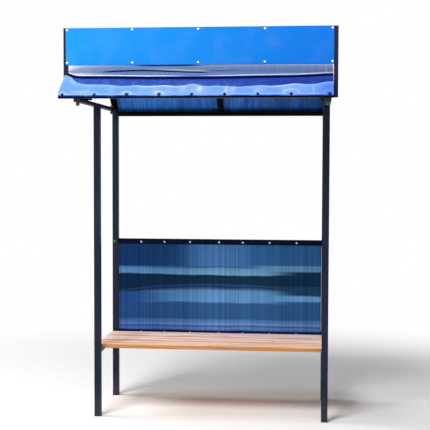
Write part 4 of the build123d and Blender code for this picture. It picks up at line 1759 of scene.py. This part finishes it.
@dataclass
class Studio:
    """The pale floor, the soft lamps, the white surround and the camera.

    Each lamp is its name, its place, the side of its square and its power.
    """

    floor: str = "FAFAF9"
    ambient: float = 0.14
    clear_from: float = 1.6
    clear_to: float = 4.2
    lamps: tuple[tuple[str, Point, float, float], ...] = (
        ("key_lamp", (-2.5, -5.4, 7.4), 3.2, 670.0),
        ("fill_lamp", (2.6, -6.6, 5.0), 4.0, 45.0),
        ("side_lamp", (-7.5, 0.3, 7.2), 4.0, 470.0),
    )
    lit: Point = (0.0, 0.0, 1.2)
    eye: Point = (0.671, -6.2648, 1.5962)
    yaw_pitch_roll: Point = (-5.614, -2.935, 0.159)
    lens: float = 1013.64 / 430 * 36.0

    def build(self) -> None:
        """Sets the stage."""
        self.ground()
        self.surround()
        for lamp in self.lamps:
            self.lamp(*lamp)
        self.camera()

    def looked_at(self, add: Adder) -> Node:
        """One for a ray from the camera, or to it by gloss or through clear pieces.

        Args:
            add: adds a node to a material or to the world.

        Returns:
            The factor.
        """
        path = add("LightPath").outputs
        seen = add("Math", path["Is Camera Ray"], path["Is Glossy Ray"], operation="ADD")
        return add("Math", seen, path["Is Transmission Ray"], operation="ADD", use_clamp=True)

    def ground(self) -> None:
        """Makes the floor: lit round the object, and clearing to white further out."""
        half = 30.0
        mesh = bpy.data.meshes.new("studio_floor")
        corners = [(-half, -half, 0.0), (half, -half, 0.0), (half, half, 0.0), (-half, half, 0.0)]
        mesh.from_pydata(corners, [], [(0, 1, 2, 3)])
        floor = show("studio_floor", mesh)
        material = bpy.data.materials.new("pale matt floor")
        add = emptied(material)
        matt = add("BsdfPrincipled", named={"Base Color": linear(self.floor), "Roughness": 0.9})
        reach = add("VectorMath", add("TexCoord").outputs["Object"], operation="LENGTH")
        ends = (self.clear_from, self.clear_to)
        clear = add("MapRange", reach, *ends, 0.0, 1.0, interpolation_type="SMOOTHERSTEP")
        share = add("Math", clear, self.looked_at(add), operation="MULTIPLY")
        white = add("Emission", linear(WHITE), 1.0)
        add("OutputMaterial", add("MixShader", share, matt, white))
        mesh.materials.append(material)

    def surround(self) -> None:
        """Makes the world: white to the camera, to gloss and through clear pieces."""
        world = bpy.data.worlds.new("studio surround")
        bpy.context.scene.world = world
        add = emptied(world)
        plain, white = (add("Background", linear(WHITE), strength) for strength in (self.ambient, 1.0))
        add("OutputWorld", add("MixShader", self.looked_at(add), plain, white))

    def lamp(self, name: str, place: Point, size: float, power: float) -> None:
        """Makes a large square lamp that looks at the object's middle.

        Args:
            name: the lamp's name.
            place: where it hangs.
            size: its side in metres.
            power: its power in watts.
        """
        data = bpy.data.lights.new(name, "AREA")
        data.size = size
        data.energy = power
        away = unit(np.array(place) - self.lit)
        side = unit(np.cross(UPWARD, away))
        stand(name, data, place, (side, np.cross(away, side), away))

    def camera(self) -> None:
        """Places the camera at the photograph's viewing angle."""
        data = bpy.data.cameras.new("view")
        data.sensor_width = 36.0
        data.lens = self.lens
        data.clip_end = 200.0
        yaw, pitch, roll = (math.radians(value) for value in self.yaw_pitch_roll)
        ahead = np.array([math.sin(yaw) * math.cos(pitch), math.cos(yaw) * math.cos(pitch), math.sin(pitch)])
        level = np.array([math.cos(yaw), -math.sin(yaw), 0.0])
        upward = np.cross(level, ahead)
        right = math.cos(roll) * level + math.sin(roll) * upward
        up = -math.sin(roll) * level + math.cos(roll) * upward
        bpy.context.scene.camera = stand("view", data, self.eye, (right, up, -ahead))


GREEN = Moulded(name="injection-moulded green cap", roughness=0.25, specular=0.4)
BLACK_PLUG = Moulded(
    "injection-moulded black plug", roughness=0.6, specular=0.2, tone="1E1A1B", deep="141112", cloud_mm=12.0
)
WHITE_CAP = Moulded("injection-moulded white cap", roughness=0.3, tone="E9EDF2", deep="DCE1E8", cloud_mm=14.0)
ZINC = Moulded("zinc-plated pressed steel", roughness=0.32, metallic=0.8, tone="C0D0F4", deep="A4B8E8", cloud_mm=5.0)
NAVY = Moulded(
    "enamelled pressed steel screw", roughness=0.35, specular=0.1, tone="090A3A", deep="050526", cloud_mm=6.0
)
# The frame's enamel painted darker as shade, for the tubes under the roof.
SHADE_PAINTED_ENAMEL = Enamel("sprayed satin enamel, unfaded", specular=0.03, tone="0C0E14", deep="08090D")
# Painted light and shade on the panel sheet: bands by height, then patches.
PANEL_LIGHT_BANDS = (
    (0.0, "1A3A90"), (1.0, "3A7AB8"), (0.05, "1F429A"), (0.064, "6A94DC"), (0.085, "74A2EC"), (0.092, "4A78C4"),
    (0.104, "4A78C4"), (0.112, "7EAEF4"), (0.128, "7EAEF4"), (0.138, "6299E0"), (0.162, "5E96DC"),
    (0.180, "366FAA"), (0.34, "3870AC"), (0.362, "70B0F0"), (0.47, "6CAAE6"), (0.492, "46729E"),
    (0.512, "1C3C66"), (0.53, "30588A"), (0.545, "103A5A"), (0.63, "103A5A"), (0.642, "88C4EC"),
    (0.695, "78B4E0"), (0.715, "3A7AB8"),
)
PANEL_LIGHT_PATCHES = (
    (-0.66, 0.99, 0.38, 0.088, 0.12, "2E609A"),
    (-0.66, 0.99, 0.10, 0.088, 0.45, "204E82"),
    (0.02, 0.99, 0.10, 0.088, 0.16, "568ED2"),
    (-0.66, 0.672, 0.08, 0.040, 0.36, "3A6CB0"),
    (0.72, 0.735, 0.16, 0.026, 0.22, "265078"),
    (0.70, 0.683, 0.12, 0.010, 0.26, "7CC8FF"),
    (0.72, 0.646, 0.16, 0.010, 0.30, "3870AC"),
    (0.72, 0.8875, 0.30, 0.0125, 0.25, "78B4E0"),
    (0.72, 0.840, 0.14, 0.020, 0.26, "123E62"),
)


def main() -> None:
    """Builds and dresses the shelter, piece by piece."""
    logging.basicConfig(level=logging.INFO, format="%(message)s")
    bpy.context.scene.view_settings.view_transform = "Standard"
    Studio().build()
    TubeFrame().build(Enamel(), SHADE_PAINTED_ENAMEL, GREEN, BLACK_PLUG)
    low, high = span("roof_sheet")
    arched = ArchedSheet(
        name="extruded twin-wall polycarbonate, roof",
        pitch=CellularPlate().pitch(high[0] - low[0])[1],
        first=low[0],
        darkest_flute=0.7,
        centre=(Arch.found().y, Arch.found().z),
    )
    Roof().build(arched, ZINC)
    Apron().build(CoverFilm(), NAVY)
    Sign().build(SignFace(), WHITE_CAP)
    low, high = span("back_panel")
    banded = BandedSheet(
        name="extruded twin-wall polycarbonate, panel",
        pitch=BackPanel().plate.pitch(high[0] - low[0])[1],
        first=low[0],
        darkest_flute=0.78,
        web_dark=0.3,
        low=(low[0], low[2]),
        high=(high[0], high[2]),
        bands=PANEL_LIGHT_BANDS,
        patches=PANEL_LIGHT_PATCHES,
    )
    BackPanel().build(banded, ZINC)
    Seat().build(OiledPine, ZINC)


if __name__ == "__main__":
    main()
